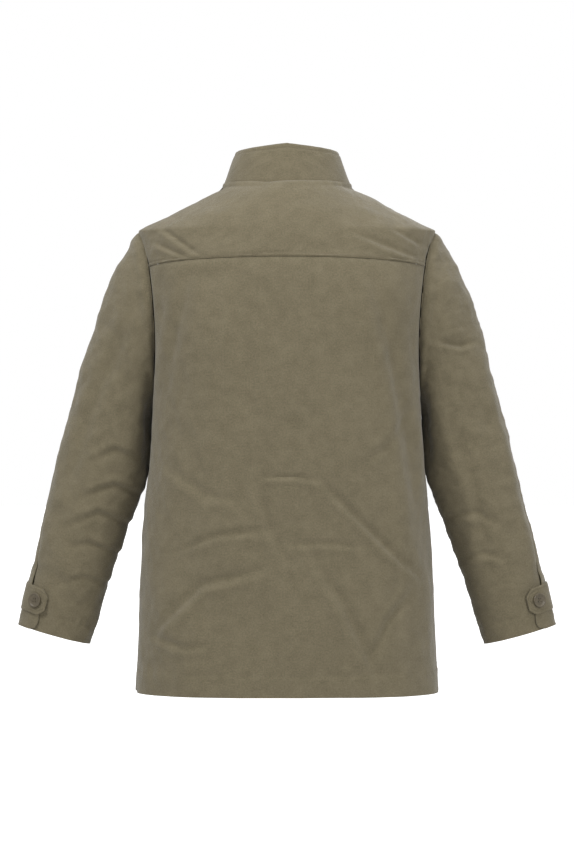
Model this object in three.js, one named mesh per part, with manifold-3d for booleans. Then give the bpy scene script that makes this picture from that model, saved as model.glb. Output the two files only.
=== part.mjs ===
// A field jacket with a stand collar, hanging in the shape of a wearer.
// Millimetres, +Z up. The front faces -Y and the wearer's left is +X. The origin is the middle
// of the neck opening, level with the collar seam at the centre back.
import * as THREE from 'three';
import { mergeVertices } from 'three/addons/utils/BufferGeometryUtils.js';
import Module from 'manifold-3d';

const wasm = await Module();
wasm.setup();

// ---- Driving dimensions -------------------------------------------------------------------
const CLOTH = 1.2;             // thickness of one panel with its seam allowance
const SEAM_GAP = 0.6;          // clear space left between two panels that are sewn together
const ARMHOLE_GAP = 3;           // the same where a sleeve meets the body, sideways
const LINING_DEPTH = 7;        // how far the lining hangs inside the shell
const YOKE_LINING_DEPTH = 10;    // deeper, because the shoulder is sharply curved
const LINING = 0.8;            // thickness of the lining
const LENGTH = 768;            // neck point to hem, down the centre back
const CHEST_HALF_WIDTH = 201;
const HEM_HALF_WIDTH = 230;
const BACK_DEPTH = 141;        // from the side plane to the back
const FRONT_DEPTH = 138;       // from the side plane to the front, at the hem
const NECK_HALF_WIDTH = 98;
const NECK_BACK_DEPTH = 75;
const NECK_FRONT_DEPTH = 104;
const NECK_FRONT_DROP = 82;    // centre-front neck point below the centre-back one
const NECK_SIDE_DROP = 9;
const SHOULDER_HALF_WIDTH = 225;
const SHOULDER_DROP = 73;
const ARMPIT_DROP = 308;
const SQUARENESS = 2.9;          // how square the body is in plan: 2 is an ellipse
const ARMHOLE_BACK = 60;       // half depth of the armhole towards the back
const ARMHOLE_FRONT = 70;
const YOKE_DROP = 117;         // neck point to yoke seam, down the centre back
const YOKE_END_DROP = 129;     // the same, at the armhole
const COLLAR_HEIGHT = 57;
const COLLAR_GAP = 5;            // collar's lower edge above the neck seam, clear of the panels
const COLLAR_TAPER = 0.79;     // share of the neck's width left at the collar's top edge
const CUFF_CENTRE_X = 356;
const CUFF_DROP = 685;
const CUFF_LEAN = 15.3;        // degrees between the cuff's axis and the vertical
const CUFF_HALF_WIDTH = 57;
const CUFF_HALF_DEPTH = 40;
const SLEEVE_HALF_DEPTH = 70;    // at the armhole
const UNDERARM_CLEARANCE = 3;
const SLEEVE_FORWARD = 22;     // how far the cuff hangs in front of the shoulder
const BUTTON_RADIUS = 11;
const BUTTON_THICKNESS = 3;
const TAB_WIDTH = 42;
const TAB_BUTTON_ANGLE = 50;   // place of the cuff button round the cuff, from its outer edge
const TAB_ABOVE_CUFF = 46;     // middle of the tab above the cuff's edge
const ZIP_TOOTH_WIDTH = 3;
const ZIP_TAPE_WIDTH = 14;
const ZIP_BOTTOM_CLEARANCE = 6;
const POCKET_MOUTH_OVERLAP = 9;   // flap seam above the pocket's mouth
const CHEST_POCKET = { x: 88, top: 268, width: 104, height: 128, depth: 13, flap: 54 };
const HIP_POCKET = { x: 102, top: 496, width: 136, height: 170, depth: 16, flap: 62 };
const FLAP_BUTTON_ABOVE_TIP = 22;
const FLAP_GAP = 0.8;            // between a pocket and the flap that lies on it
const HOLE_CLEARANCE = 1.5;      // room round a button in the flap that swings off it
const TAB_HOLE_CLEARANCE = 4.8;  // more, because a tab swings off its button at a slant
const FACING_WIDTH = 62;
const LOOP_WIDTH = 7;
const LOOP_SPAN = 58;
const LABEL = { width: 52, height: 30 };

const CLOTH_FINISH = { color: 0x797057, roughness: 0.92, metalness: 0 };
const LINING_FINISH = { color: 0x4d4738, roughness: 0.7, metalness: 0 };
const BUTTON_FINISH = { color: 0x5a523f, roughness: 0.45, metalness: 0 };
const METAL_FINISH = { color: 0x6e6552, roughness: 0.35, metalness: 1 };
const TAPE_FINISH = { color: 0x5f5744, roughness: 0.9, metalness: 0 };
const LABEL_FINISH = { color: 0x2c2a24, roughness: 0.8, metalness: 0 };

// ---- The garment's form -------------------------------------------------------------------
const ARMHOLE_MIDDLE = (SHOULDER_DROP + ARMPIT_DROP) / 2;
const ARMHOLE_HALF_HEIGHT = (ARMPIT_DROP - SHOULDER_DROP) / 2;
const HALF_TURN = Math.PI / 2;
const { lerp, smoothstep, clamp, degToRad } = THREE.MathUtils;

// Smooth curve through [drop, value] pairs that are listed from the neck down.
function profile(points, drop) {
  const last = points.length - 1;
  if (drop <= points[0][0]) return points[0][1];
  if (drop >= points[last][0]) return points[last][1];
  const i = points.findIndex((p) => p[0] > drop) - 1;
  const [d0, v0] = points[i];
  const [d1, v1] = points[i + 1];
  const slope = (k) => {
    if (k <= 0 || k >= last) return 0;
    return (points[k + 1][1] - points[k - 1][1]) / (points[k + 1][0] - points[k - 1][0]);
  };
  const span = d1 - d0;
  const t = (drop - d0) / span;
  const m0 = i === 0 ? (v1 - v0) / span : slope(i);
  const m1 = i + 1 === last ? (v1 - v0) / span : slope(i + 1);
  const t2 = t * t;
  const t3 = t2 * t;
  return (2 * t3 - 3 * t2 + 1) * v0 + (t3 - 2 * t2 + t) * span * m0
    + (3 * t2 - 2 * t3) * v1 + (t3 - t2) * span * m1;
}

const SIDE_BELOW_SHOULDER = [
  [SHOULDER_DROP, SHOULDER_HALF_WIDTH],
  [SHOULDER_DROP + 45, SHOULDER_HALF_WIDTH - 7],
  [(SHOULDER_DROP + ARMPIT_DROP) / 2, CHEST_HALF_WIDTH + 7],
  [ARMPIT_DROP, CHEST_HALF_WIDTH],
  [lerp(ARMPIT_DROP, LENGTH, 0.5), lerp(CHEST_HALF_WIDTH, HEM_HALF_WIDTH, 0.56)],
  [LENGTH, HEM_HALF_WIDTH],
];

const BACK = [
  [0, NECK_BACK_DEPTH],
  [20, NECK_BACK_DEPTH + 15],
  [60, NECK_BACK_DEPTH + 35],
  [YOKE_DROP, BACK_DEPTH - 17],
  [(SHOULDER_DROP + ARMPIT_DROP) / 2, BACK_DEPTH - 5],
  [ARMPIT_DROP, BACK_DEPTH],
  [LENGTH, BACK_DEPTH],
];

function halfWidth(drop) {
  if (drop >= SHOULDER_DROP) return profile(SIDE_BELOW_SHOULDER, drop);
  const share = clamp((drop - NECK_SIDE_DROP) / (SHOULDER_DROP - NECK_SIDE_DROP), 0, 1);
  return lerp(NECK_HALF_WIDTH, SHOULDER_HALF_WIDTH, share);
}

function frontDepth(drop) {
  if (drop >= NECK_FRONT_DROP) {
    const share = (drop - NECK_FRONT_DROP) / (LENGTH - NECK_FRONT_DROP);
    return lerp(NECK_FRONT_DEPTH, FRONT_DEPTH, share);
  }
  const share = clamp((drop - NECK_SIDE_DROP) / (NECK_FRONT_DROP - NECK_SIDE_DROP), 0, 1);
  return lerp(NECK_FRONT_DEPTH * 0.72, NECK_FRONT_DEPTH, Math.sqrt(share));
}

const backDepth = (drop) => profile(BACK, drop);
const squareness = (drop) => lerp(2, SQUARENESS, smoothstep(drop, SHOULDER_DROP / 2, ARMHOLE_MIDDLE));

// Point of the shell at a height and an angle: 0 is the centre back, 90 degrees the wearer's
// left side seam and 180 degrees the centre front.
function form(angle, drop) {
  const n = squareness(drop);
  const s = Math.sin(angle);
  const c = Math.cos(angle);
  const k = (Math.abs(s) ** n + Math.abs(c) ** n) ** (-1 / n);
  const depth = c >= 0 ? backDepth(drop) : frontDepth(drop);
  return new THREE.Vector3(halfWidth(drop) * k * s, depth * k * c, -drop);
}

// Angle of the point of the front that lies at a distance x from the middle.
function frontAngleAt(x, drop) {
  const n = squareness(drop);
  const share = Math.min(Math.abs(x) / halfWidth(drop), 1);
  const y = (1 - share ** n) ** (1 / n);
  return Math.atan2(share, -y);
}

// Angle of the armhole's edge at a height; at the armpit and below it is the side seam.
function armholeAngle(drop, reach) {
  const offset = (drop - ARMHOLE_MIDDLE) / ARMHOLE_HALF_HEIGHT;
  if (offset >= 1 || drop <= SHOULDER_DROP) return HALF_TURN;
  const y = reach * Math.sqrt(Math.max(0, 1 - offset * offset));
  const back = reach > 0;
  const share = Math.abs(y) / (back ? backDepth(drop) : frontDepth(drop));
  const n = squareness(drop);
  const x = (1 - share ** n) ** (1 / n);
  return Math.atan2(x, back ? share : -share);
}

// Place on the form that lies over a point of the plan: the neck seam is drawn in plan.
function overPlan(x, y) {
  let high = 0;
  let low = ARMPIT_DROP;
  const outside = (drop) => {
    const n = squareness(drop);
    const depth = y >= 0 ? backDepth(drop) : frontDepth(drop);
    return (Math.abs(x) / halfWidth(drop)) ** n + (Math.abs(y) / depth) ** n > 1;
  };
  for (let i = 0; i < 40; i += 1) {
    const drop = (high + low) / 2;
    if (outside(drop)) high = drop;
    else low = drop;
  }
  const depth = y >= 0 ? backDepth(low) : frontDepth(low);
  return { angle: Math.atan2(x / halfWidth(low), y / depth), drop: low };
}

// The neck seam on the wearer's left, from the centre back (0) to the centre front (1).
function neckSeam(share) {
  const turn = share * Math.PI;
  const depth = turn < HALF_TURN ? NECK_BACK_DEPTH : NECK_FRONT_DEPTH;
  return overPlan(NECK_HALF_WIDTH * Math.sin(turn), depth * Math.cos(turn));
}

// ---- Solids from surfaces -----------------------------------------------------------------
function meshOf(name, geometry, finish) {
  const mesh = new THREE.Mesh(geometry, new THREE.MeshStandardMaterial(finish));
  mesh.name = name;
  return mesh;
}

function normalAt(surface, u, v) {
  const step = 0.004;
  const u0 = Math.max(u - step, 0);
  const u1 = Math.min(u + step, 1);
  const v0 = Math.max(v - step, 0);
  const v1 = Math.min(v + step, 1);
  const across = surface(u1, v).sub(surface(u0, v));
  const along = surface(u, v1).sub(surface(u, v0));
  return across.cross(along).normalize();
}

// A closed solid between two offsets of a surface(u, v), counted outwards from the garment.
// facing is -1 where u to the right and v upwards are seen from inside, around joins the u ends
// into a tube, and level keeps the first row flat underneath.
function shell(surface, options) {
  const { columns, rows, from, to, facing = 1, around = false, level = false } = options;
  const positions = [];
  const index = [];
  const across = around ? columns : columns + 1;
  for (const side of [to, from]) {
    for (let j = 0; j <= rows; j += 1) {
      for (let i = 0; i < across; i += 1) {
        const u = i / columns;
        const v = j / rows;
        const point = surface(u, v);
        const normal = normalAt(surface, u, v);
        if (level && j === 0) normal.setZ(0).normalize();
        const lift = typeof side === 'function' ? side(u, v) : side;
        point.addScaledVector(normal, lift * facing);
        positions.push(point.x, point.y, point.z);
      }
    }
  }
  const layer = across * (rows + 1);
  const at = (i, j, inner) => j * across + (i % across) + (inner ? layer : 0);
  const quad = (a, b, c, d) => index.push(a, b, c, a, c, d);
  for (let j = 0; j < rows; j += 1) {
    for (let i = 0; i < columns; i += 1) {
      quad(at(i, j), at(i + 1, j), at(i + 1, j + 1), at(i, j + 1));
      quad(at(i, j, 1), at(i, j + 1, 1), at(i + 1, j + 1, 1), at(i + 1, j, 1));
    }
  }
  for (let i = 0; i < columns; i += 1) {
    quad(at(i, 0), at(i, 0, 1), at(i + 1, 0, 1), at(i + 1, 0));
    quad(at(i, rows), at(i + 1, rows), at(i + 1, rows, 1), at(i, rows, 1));
  }
  if (!around) {
    for (let j = 0; j < rows; j += 1) {
      quad(at(0, j), at(0, j + 1), at(0, j + 1, 1), at(0, j, 1));
      quad(at(columns, j), at(columns, j, 1), at(columns, j + 1, 1), at(columns, j + 1));
    }
  }
  const geometry = new THREE.BufferGeometry();
  geometry.setAttribute('position', new THREE.Float32BufferAttribute(positions, 3));
  geometry.setIndex(index);
  return faceOut(geometry);
}

// Turns every triangle round if the solid came out inside out, as a mirrored one does.
function faceOut(geometry) {
  const position = geometry.getAttribute('position');
  const index = geometry.getIndex();
  const [a, b, c] = [new THREE.Vector3(), new THREE.Vector3(), new THREE.Vector3()];
  let volume = 0;
  for (let i = 0; i < index.count; i += 3) {
    a.fromBufferAttribute(position, index.getX(i));
    b.fromBufferAttribute(position, index.getX(i + 1));
    c.fromBufferAttribute(position, index.getX(i + 2));
    volume += a.dot(b.cross(c));
  }
  if (volume < 0) {
    for (let i = 0; i < index.count; i += 3) {
      const first = index.getX(i);
      index.setX(i, index.getX(i + 1));
      index.setX(i + 1, first);
    }
  }
  return geometry;
}

function toManifold(geometry) {
  const plain = geometry.clone();
  plain.deleteAttribute('normal');
  plain.deleteAttribute('uv');
  const merged = mergeVertices(plain);
  const position = merged.getAttribute('position');
  return new wasm.Manifold(new wasm.Mesh({
    numProp: 3,
    vertProperties: new Float32Array(position.array),
    triVerts: new Uint32Array(merged.getIndex().array),
  }));
}

function fromManifold(solid) {
  const { vertProperties, triVerts } = solid.getMesh();
  const geometry = new THREE.BufferGeometry();
  geometry.setAttribute('position', new THREE.BufferAttribute(vertProperties, 3));
  geometry.setIndex(new THREE.BufferAttribute(triVerts, 1));
  return geometry;
}

// ---- Body panels --------------------------------------------------------------------------
// The surface coordinates of each panel give an angle and a drop on the form.
const onForm = (place) => (u, v) => {
  const { angle, drop } = place(u, v);
  return form(angle, drop);
};

const gapAngle = (drop) => SEAM_GAP / 2 / backDepth(drop);

// Heights of a panel's side edge, from the hem up: straight to the armpit, then round it.
const SIDE_SHARE = 0.55;
function sideDrop(v, top) {
  if (v <= SIDE_SHARE) return lerp(LENGTH, ARMPIT_DROP, v / SIDE_SHARE);
  const end = Math.acos((ARMHOLE_MIDDLE - top) / ARMHOLE_HALF_HEIGHT);
  const turn = lerp(Math.PI, end, (v - SIDE_SHARE) / (1 - SIDE_SHARE));
  return ARMHOLE_MIDDLE - ARMHOLE_HALF_HEIGHT * Math.cos(turn);
}

const backPlace = (u, v) => {
  const across = 2 * u - 1;
  const top = YOKE_END_DROP + SEAM_GAP / 2;
  const edge = sideDrop(v, top);
  const middle = lerp(LENGTH, YOKE_DROP + SEAM_GAP / 2, v);
  const drop = lerp(middle, edge, across * across);
  const limit = armholeAngle(edge, ARMHOLE_BACK) - gapAngle(drop);
  return { angle: across * limit, drop };
};

const NECK_SHARE = 0.42;       // share of the yoke's half width that lies along the neck seam
const yokePlace = (u, v) => {
  const across = 2 * u - 1;
  const size = Math.abs(across);
  const edge = YOKE_END_DROP - SEAM_GAP / 2;
  const seam = lerp(YOKE_DROP - SEAM_GAP / 2, edge, size * size);
  const endAngle = armholeAngle(edge, ARMHOLE_BACK);
  const neck = neckSeam(Math.min(size / NECK_SHARE, 1) / 2);
  const past = clamp((size - NECK_SHARE) / (1 - NECK_SHARE), 0, 1);
  const shoulder = SHOULDER_DROP + 1;
  const drop = lerp(seam, lerp(neck.drop, shoulder, past), v);
  const free = lerp(endAngle * size, neck.angle, v);
  const limit = armholeAngle(lerp(edge, shoulder, v), ARMHOLE_BACK) / lerp(endAngle, HALF_TURN, v);
  const angle = free * lerp(1, limit, size * size) - gapAngle(drop) * size;
  return { angle: Math.sign(across) * Math.max(angle, 0), drop };
};

const ZIP_HALF_GAP = ZIP_TOOTH_WIDTH + 1.4;
const FRONT_NECK_SHARE = 0.78;    // share of the front's height that lies below the neck seam
const frontPlace = (u, v) => {
  const neckTurn = clamp((v - FRONT_NECK_SHARE) / (1 - FRONT_NECK_SHARE), 0, 1);
  const neck = neckSeam(1 - neckTurn / 2);
  const innerDrop = v < FRONT_NECK_SHARE
    ? lerp(LENGTH, NECK_FRONT_DROP, v / FRONT_NECK_SHARE)
    : neck.drop;
  const edgeAngle = frontAngleAt(ZIP_HALF_GAP, innerDrop);
  const innerAngle = Math.min(neckTurn > 0 ? neck.angle : Math.PI, edgeAngle);
  const outerDrop = sideDrop(v, SHOULDER_DROP + 1);
  const outerAngle = armholeAngle(outerDrop, -ARMHOLE_FRONT);
  const drop = lerp(innerDrop, outerDrop, u);
  const angle = lerp(innerAngle, outerAngle, u) + gapAngle(drop);
  return { angle: Math.min(angle, Math.PI), drop };
};

const mirrored = (surface, side) => (u, v) => {
  const point = surface(u, v);
  return point.setX(point.x * side);
};

function layer(surface, side, options) {
  const { facing = 1 } = options;
  return shell(mirrored(surface, side), { ...options, facing: facing * side });
}

const SIDES = [['left', 1], ['right', -1]];
const jacket = new THREE.Group();
const add = (name, geometry, finish) => jacket.add(meshOf(name, geometry, finish));

add('back_panel', shell(onForm(backPlace), {
  columns: 16, rows: 12, from: -CLOTH, to: 0, facing: -1, level: true,
}), CLOTH_FINISH);
add('back_yoke', shell(onForm(yokePlace), {
  columns: 22, rows: 5, from: -CLOTH, to: 0, facing: -1,
}), CLOTH_FINISH);
const lined = (place) => (u, v) => place(0.02 + 0.96 * u, 0.03 + 0.95 * v);
add('back_lining', shell(onForm(lined(backPlace)), {
  columns: 12, rows: 9, from: -LINING_DEPTH - LINING, to: -LINING_DEPTH, facing: -1,
}), LINING_FINISH);
const FACING_SHARE = FACING_WIDTH / (HALF_TURN * CHEST_HALF_WIDTH);
for (const [side, sign] of SIDES) {
  const front = onForm(frontPlace);
  add(`${side}_front`, layer(front, sign, {
    columns: 10, rows: 18, from: -CLOTH, to: 0, level: true,
  }), CLOTH_FINISH);
  const liningPlace = (u, v) => frontPlace(lerp(FACING_SHARE + 0.03, 0.95, u), 0.03 + 0.9 * v);
  const facingPlace = (u, v) => frontPlace(lerp(0.02, FACING_SHARE, u), 0.004 + 0.9 * v);
  add(`${side}_front_lining`, layer(onForm(liningPlace), sign, {
    columns: 7, rows: 15, from: -LINING_DEPTH - LINING, to: -LINING_DEPTH,
  }), LINING_FINISH);
  add(`${side}_facing`, layer(onForm(facingPlace), sign, {
    columns: 2, rows: 16, from: -LINING_DEPTH - CLOTH, to: -LINING_DEPTH,
  }), CLOTH_FINISH);
}

// ---- Collar -------------------------------------------------------------------------------
// The collar stands on the neck seam and leans in. u runs from the centre back to the front.
function collarPoint(u, v, inset) {
  const share = lerp(0.004, 0.985, u);
  const seam = neckSeam(share);
  const base = form(seam.angle, seam.drop);
  const taper = lerp(1, COLLAR_TAPER, v);
  const rise = lerp(COLLAR_GAP, COLLAR_HEIGHT, v);
  const plan = new THREE.Vector2(base.x, base.y);
  const reach = plan.length();
  plan.setLength(reach * taper - inset);
  const sideDip = 8 * v * Math.sin(share * Math.PI);
  return new THREE.Vector3(plan.x, plan.y, base.z + rise - sideDip);
}
const COLLAR_INSET = 3.2;
for (const [side, sign] of SIDES) {
  const outer = (u, v) => collarPoint(u, v, 0);
  add(`${side}_collar`, layer(outer, sign, {
    columns: 16, rows: 3, from: -CLOTH, to: 0, facing: -1,
  }), CLOTH_FINISH);
}
const collarInside = (u, v) => {
  const across = 2 * u - 1;
  const point = collarPoint(Math.abs(across) * 0.985, v, COLLAR_INSET);
  return point.setX(Math.abs(across) < 1e-6 ? 0 : Math.sign(across) * point.x);
};
add('collar_lining', shell(collarInside, {
  columns: 28, rows: 3, from: -CLOTH, to: 0, facing: -1,
}), CLOTH_FINISH);

// ---- Sleeves ------------------------------------------------------------------------------
// Outer and inner edge of the sleeve, seen from the back, from the armhole to the cuff.
const cuffLean = degToRad(CUFF_LEAN);
const cuffAcross = new THREE.Vector3(Math.cos(cuffLean), 0, Math.sin(cuffLean));
const cuffCentre = new THREE.Vector3(CUFF_CENTRE_X, -SLEEVE_FORWARD, -CUFF_DROP);
const cuffEnd = (sign) => cuffCentre.clone().addScaledVector(cuffAcross, sign * CUFF_HALF_WIDTH);
const OUTER_EDGE = new THREE.CatmullRomCurve3([
  new THREE.Vector3(SHOULDER_HALF_WIDTH, 0, -SHOULDER_DROP),
  new THREE.Vector3(SHOULDER_HALF_WIDTH + 29, 0, -SHOULDER_DROP - 42),
  new THREE.Vector3(SHOULDER_HALF_WIDTH + 59, 0, -SHOULDER_DROP - 115),
  new THREE.Vector3(SHOULDER_HALF_WIDTH + 103, 0, -SHOULDER_DROP - 261),
  cuffEnd(1).setY(0).add(new THREE.Vector3(-35, 0, 144)),
  cuffEnd(1).setY(0),
]);
const besideBody = (below) => {
  const drop = ARMPIT_DROP + below;
  return new THREE.Vector3(halfWidth(drop) + UNDERARM_CLEARANCE, 0, -drop);
};
const INNER_EDGE = new THREE.CatmullRomCurve3([
  new THREE.Vector3(CHEST_HALF_WIDTH, 0, -ARMPIT_DROP),
  besideBody(50),
  besideBody(125),
  cuffEnd(-1).setY(0).add(new THREE.Vector3(-48, 0, 147)),
  cuffEnd(-1).setY(0),
]);

function armholePoint(turn) {
  const reach = Math.sin(turn) >= 0 ? ARMHOLE_BACK : ARMHOLE_FRONT;
  const drop = ARMHOLE_MIDDLE - ARMHOLE_HALF_HEIGHT * Math.cos(turn);
  const y = reach * Math.sin(turn);
  const depth = y >= 0 ? backDepth(drop) : frontDepth(drop);
  const n = squareness(drop);
  const x = halfWidth(drop) * (1 - (Math.abs(y) / depth) ** n) ** (1 / n);
  return new THREE.Vector3(x, y, -drop);
}

// Point of the left sleeve. turn: 0 outer edge, a quarter back, a half inner edge. along: 0 to 1.
function sleevePoint(turn, along) {
  const outer = OUTER_EDGE.getPoint(along);
  const inner = INNER_EDGE.getPoint(along);
  const centre = outer.clone().add(inner).multiplyScalar(0.5);
  const half = outer.sub(inner).multiplyScalar(0.5);
  const fullness = lerp(SLEEVE_HALF_DEPTH, CUFF_HALF_DEPTH, along ** 0.7);
  const ring = centre.addScaledVector(half, Math.cos(turn));
  ring.y = -SLEEVE_FORWARD * along * along + fullness * Math.sin(turn);
  const hole = armholePoint(turn);
  hole.x += ARMHOLE_GAP;
  return hole.lerp(ring, smoothstep(along, 0, 0.3));
}

// The back seam runs down the outside of the arm and drifts to the back of the wrist.
const BACK_SEAM = degToRad(-10);
const BACK_SEAM_AT_CUFF = degToRad(46);
const FRONT_SEAM = degToRad(-140);
const SLEEVE_SEAM_GAP = 0.012;
const backSeam = (along) => lerp(BACK_SEAM, BACK_SEAM_AT_CUFF, along ** 3);
const sleevePiece = (from, to) => (u, v) => {
  const along = lerp(1, 0.004, v);
  return sleevePoint(lerp(from(along) + SLEEVE_SEAM_GAP, to(along) - SLEEVE_SEAM_GAP, u), along);
};
const SLEEVE_LINING_DEPTH = 4;
const SLEEVE_PIECE = { columns: 10, rows: 11, from: -CLOTH, to: 0 };
for (const [side, sign] of SIDES) {
  add(`${side}_top_sleeve`, layer(sleevePiece(() => FRONT_SEAM, backSeam), sign, SLEEVE_PIECE),
    CLOTH_FINISH);
  add(`${side}_under_sleeve`,
    layer(sleevePiece(backSeam, () => FRONT_SEAM + 2 * Math.PI), sign, SLEEVE_PIECE),
    CLOTH_FINISH);
  const tube = (u, v) => sleevePoint(2 * Math.PI * u, lerp(0.96, 0.14, v));
  add(`${side}_sleeve_lining`, layer(tube, sign, {
    columns: 14, rows: 7, around: true,
    from: -SLEEVE_LINING_DEPTH - LINING, to: -SLEEVE_LINING_DEPTH,
  }), LINING_FINISH);
}

// ---- Buttons ------------------------------------------------------------------------------
const STUD_RADIUS = 2.6;
const STUD_HEIGHT = 2.6;
function buttonGeometry(foot) {
  const under = foot + STUD_HEIGHT;
  const top = under + BUTTON_THICKNESS;
  const outline = [
    [0, foot], [STUD_RADIUS, foot], [STUD_RADIUS, under],
    [BUTTON_RADIUS, under], [BUTTON_RADIUS, top], [BUTTON_RADIUS - 3, top - 0.8], [0, top - 0.8],
  ];
  const lathe = new THREE.LatheGeometry(outline.map(([r, h]) => new THREE.Vector2(r, h)), 14);
  return fromManifold(toManifold(lathe));
}

const Y_AXIS = new THREE.Vector3(0, 1, 0);
function placedOn(surface, u, v, facing) {
  const normal = normalAt(surface, u, v).multiplyScalar(facing);
  const turn = new THREE.Quaternion().setFromUnitVectors(Y_AXIS, normal);
  return new THREE.Matrix4().compose(surface(u, v), turn, new THREE.Vector3(1, 1, 1));
}

function withRoundHole(geometry, place, radius) {
  const drill = new THREE.CylinderGeometry(radius, radius, 60, 16).applyMatrix4(place);
  return fromManifold(toManifold(geometry).subtract(toManifold(drill)));
}

// ---- Cuff tabs ----------------------------------------------------------------------------
const TAB_SEWN_ANGLE = -6;
const TAB_TIP_ANGLE = 70;
const TAB_LIFT = 1;
const TAB_POINT_SHARE = 0.18;
const cuffLength = OUTER_EDGE.getPoint(0.9).distanceTo(OUTER_EDGE.getPoint(1)) / 0.1;
const tabSurface = (u, v) => {
  const turn = degToRad(lerp(TAB_SEWN_ANGLE, TAB_TIP_ANGLE, u));
  const pointed = clamp((u - 1 + TAB_POINT_SHARE) / TAB_POINT_SHARE, 0, 1);
  const width = TAB_WIDTH * (1 - 0.45 * pointed);
  return sleevePoint(turn, 1 - (TAB_ABOVE_CUFF + (v - 0.5) * width) / cuffLength);
};
const tabButtonShare = (TAB_BUTTON_ANGLE - TAB_SEWN_ANGLE) / (TAB_TIP_ANGLE - TAB_SEWN_ANGLE);
for (const [side, sign] of SIDES) {
  const surface = mirrored(tabSurface, sign);
  const place = placedOn(surface, tabButtonShare, 0.5, sign);
  const strap = layer(tabSurface, sign, { columns: 12, rows: 4, from: TAB_LIFT, to: TAB_LIFT + CLOTH });
  add(`${side}_cuff_tab`, withRoundHole(strap, place, BUTTON_RADIUS + TAB_HOLE_CLEARANCE),
    CLOTH_FINISH);
  add(`${side}_cuff_button`, buttonGeometry(0.5).applyMatrix4(place), BUTTON_FINISH);
}

// ---- Pockets ------------------------------------------------------------------------------
// u runs across the pocket from the zip to the side, v from its bottom to its mouth.
const pocketSurface = (pocket) => (u, v) => {
  const drop = pocket.top + pocket.height * (1 - v);
  const x = pocket.x + (u - 0.5) * pocket.width;
  return form(frontAngleAt(x, drop), drop);
};
const EDGE_LIFT = 0.6;
const fullness = (share) => 1 - Math.abs(2 * share - 1) ** 4;
const pocketLift = (pocket) => (u, v) => EDGE_LIFT + CLOTH
  + pocket.depth * fullness(u) * fullness(v / 2);

// The flap's first row from its seam is the step that it takes over the pocket's mouth.
const FLAP_ROWS = 6;
const FLAP_STEP = POCKET_MOUTH_OVERLAP - 2;
function belowFlapSeam(pocket, v) {
  const row = (1 - v) * FLAP_ROWS;
  if (row <= 1) return row * FLAP_STEP;
  return lerp(FLAP_STEP, pocket.flap, (row - 1) / (FLAP_ROWS - 1));
}
const flapSurface = (pocket) => (u, v) => {
  const drop = pocket.top - POCKET_MOUTH_OVERLAP + belowFlapSeam(pocket, v);
  const tipRise = v < 0.2 ? (0.2 - v) * 0.6 * pocket.flap * Math.abs(2 * u - 1) ** 2 : 0;
  const x = pocket.x + (u - 0.5) * (pocket.width + 2);
  return form(frontAngleAt(x, drop - tipRise), drop - tipRise);
};
const flapLift = (pocket) => (u, v) => {
  const ramp = clamp(belowFlapSeam(pocket, v) / FLAP_STEP, 0, 1);
  return EDGE_LIFT + ramp * (CLOTH + FLAP_GAP + pocket.depth * fullness(u));
};
for (const [side, sign] of SIDES) {
  for (const [kind, pocket] of [['chest', CHEST_POCKET], ['hip', HIP_POCKET]]) {
    const lift = pocketLift(pocket);
    add(`${side}_${kind}_pocket`, layer(pocketSurface(pocket), sign, {
      columns: 10, rows: 6, from: (u, v) => lift(u, v) - CLOTH, to: lift,
    }), CLOTH_FINISH);
    const under = flapLift(pocket);
    const flap = layer(flapSurface(pocket), sign, {
      columns: 10, rows: FLAP_ROWS, from: under, to: (u, v) => under(u, v) + CLOTH,
    });
    const buttonShare = 1 - (pocket.flap - POCKET_MOUTH_OVERLAP - FLAP_BUTTON_ABOVE_TIP) / pocket.height;
    const place = placedOn(mirrored(pocketSurface(pocket), sign), 0.5, buttonShare, sign);
    add(`${side}_${kind}_flap`, withRoundHole(flap, place, BUTTON_RADIUS + HOLE_CLEARANCE),
      CLOTH_FINISH);
    const foot = lift(0.5, buttonShare) + 0.4;
    add(`${side}_${kind}_button`, buttonGeometry(foot).applyMatrix4(place), BUTTON_FINISH);
    const seam = (u) => flapSurface(pocket)(u, 1);
    jacket.userData[`${side}_${kind}_flap`] = [seam(0), seam(0.5), seam(1)]
      .map((p) => [p.x * sign, p.y, p.z]);
  }
  jacket.userData[`${side}_cuff_tab`] = [tabSurface(0, 0), tabSurface(0, 0.5), tabSurface(0, 1)]
    .map((p) => [p.x * sign, p.y, p.z]);
}

// ---- Zip ----------------------------------------------------------------------------------
// Local axes of the zip: x sideways, y up along it and z out of the garment.
const zipTopDrop = NECK_FRONT_DROP + 6;
const zipTop = new THREE.Vector3(0, -frontDepth(zipTopDrop), -zipTopDrop);
const zipBottomDrop = LENGTH - ZIP_BOTTOM_CLEARANCE;
const zipBottom = new THREE.Vector3(0, -frontDepth(zipBottomDrop), -zipBottomDrop);
const zipUp = zipTop.clone().sub(zipBottom).normalize();
const zipSide = new THREE.Vector3(1, 0, 0);
const zipOut = zipSide.clone().cross(zipUp);
const zipLength = zipTop.distanceTo(zipBottom);
const zipFrame = new THREE.Matrix4().makeBasis(zipSide, zipUp, zipOut).setPosition(zipTop);
const block = (x, y, z, width, height, depth) => toManifold(
  new THREE.BoxGeometry(width, height, depth).translate(x, y, z));
const onZip = (solid) => fromManifold(solid).applyMatrix4(zipFrame);
const ZIP_LIFT = -3;
const TOOTH_INNER = 0.8;
const STOP_HEIGHT = 4;
const BOX_HEIGHT = 11;
const toothWidth = ZIP_TOOTH_WIDTH - TOOTH_INNER;
const chainLength = zipLength - STOP_HEIGHT - BOX_HEIGHT - 2 * SEAM_GAP;
const chainMiddle = -STOP_HEIGHT - SEAM_GAP - chainLength / 2;
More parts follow.
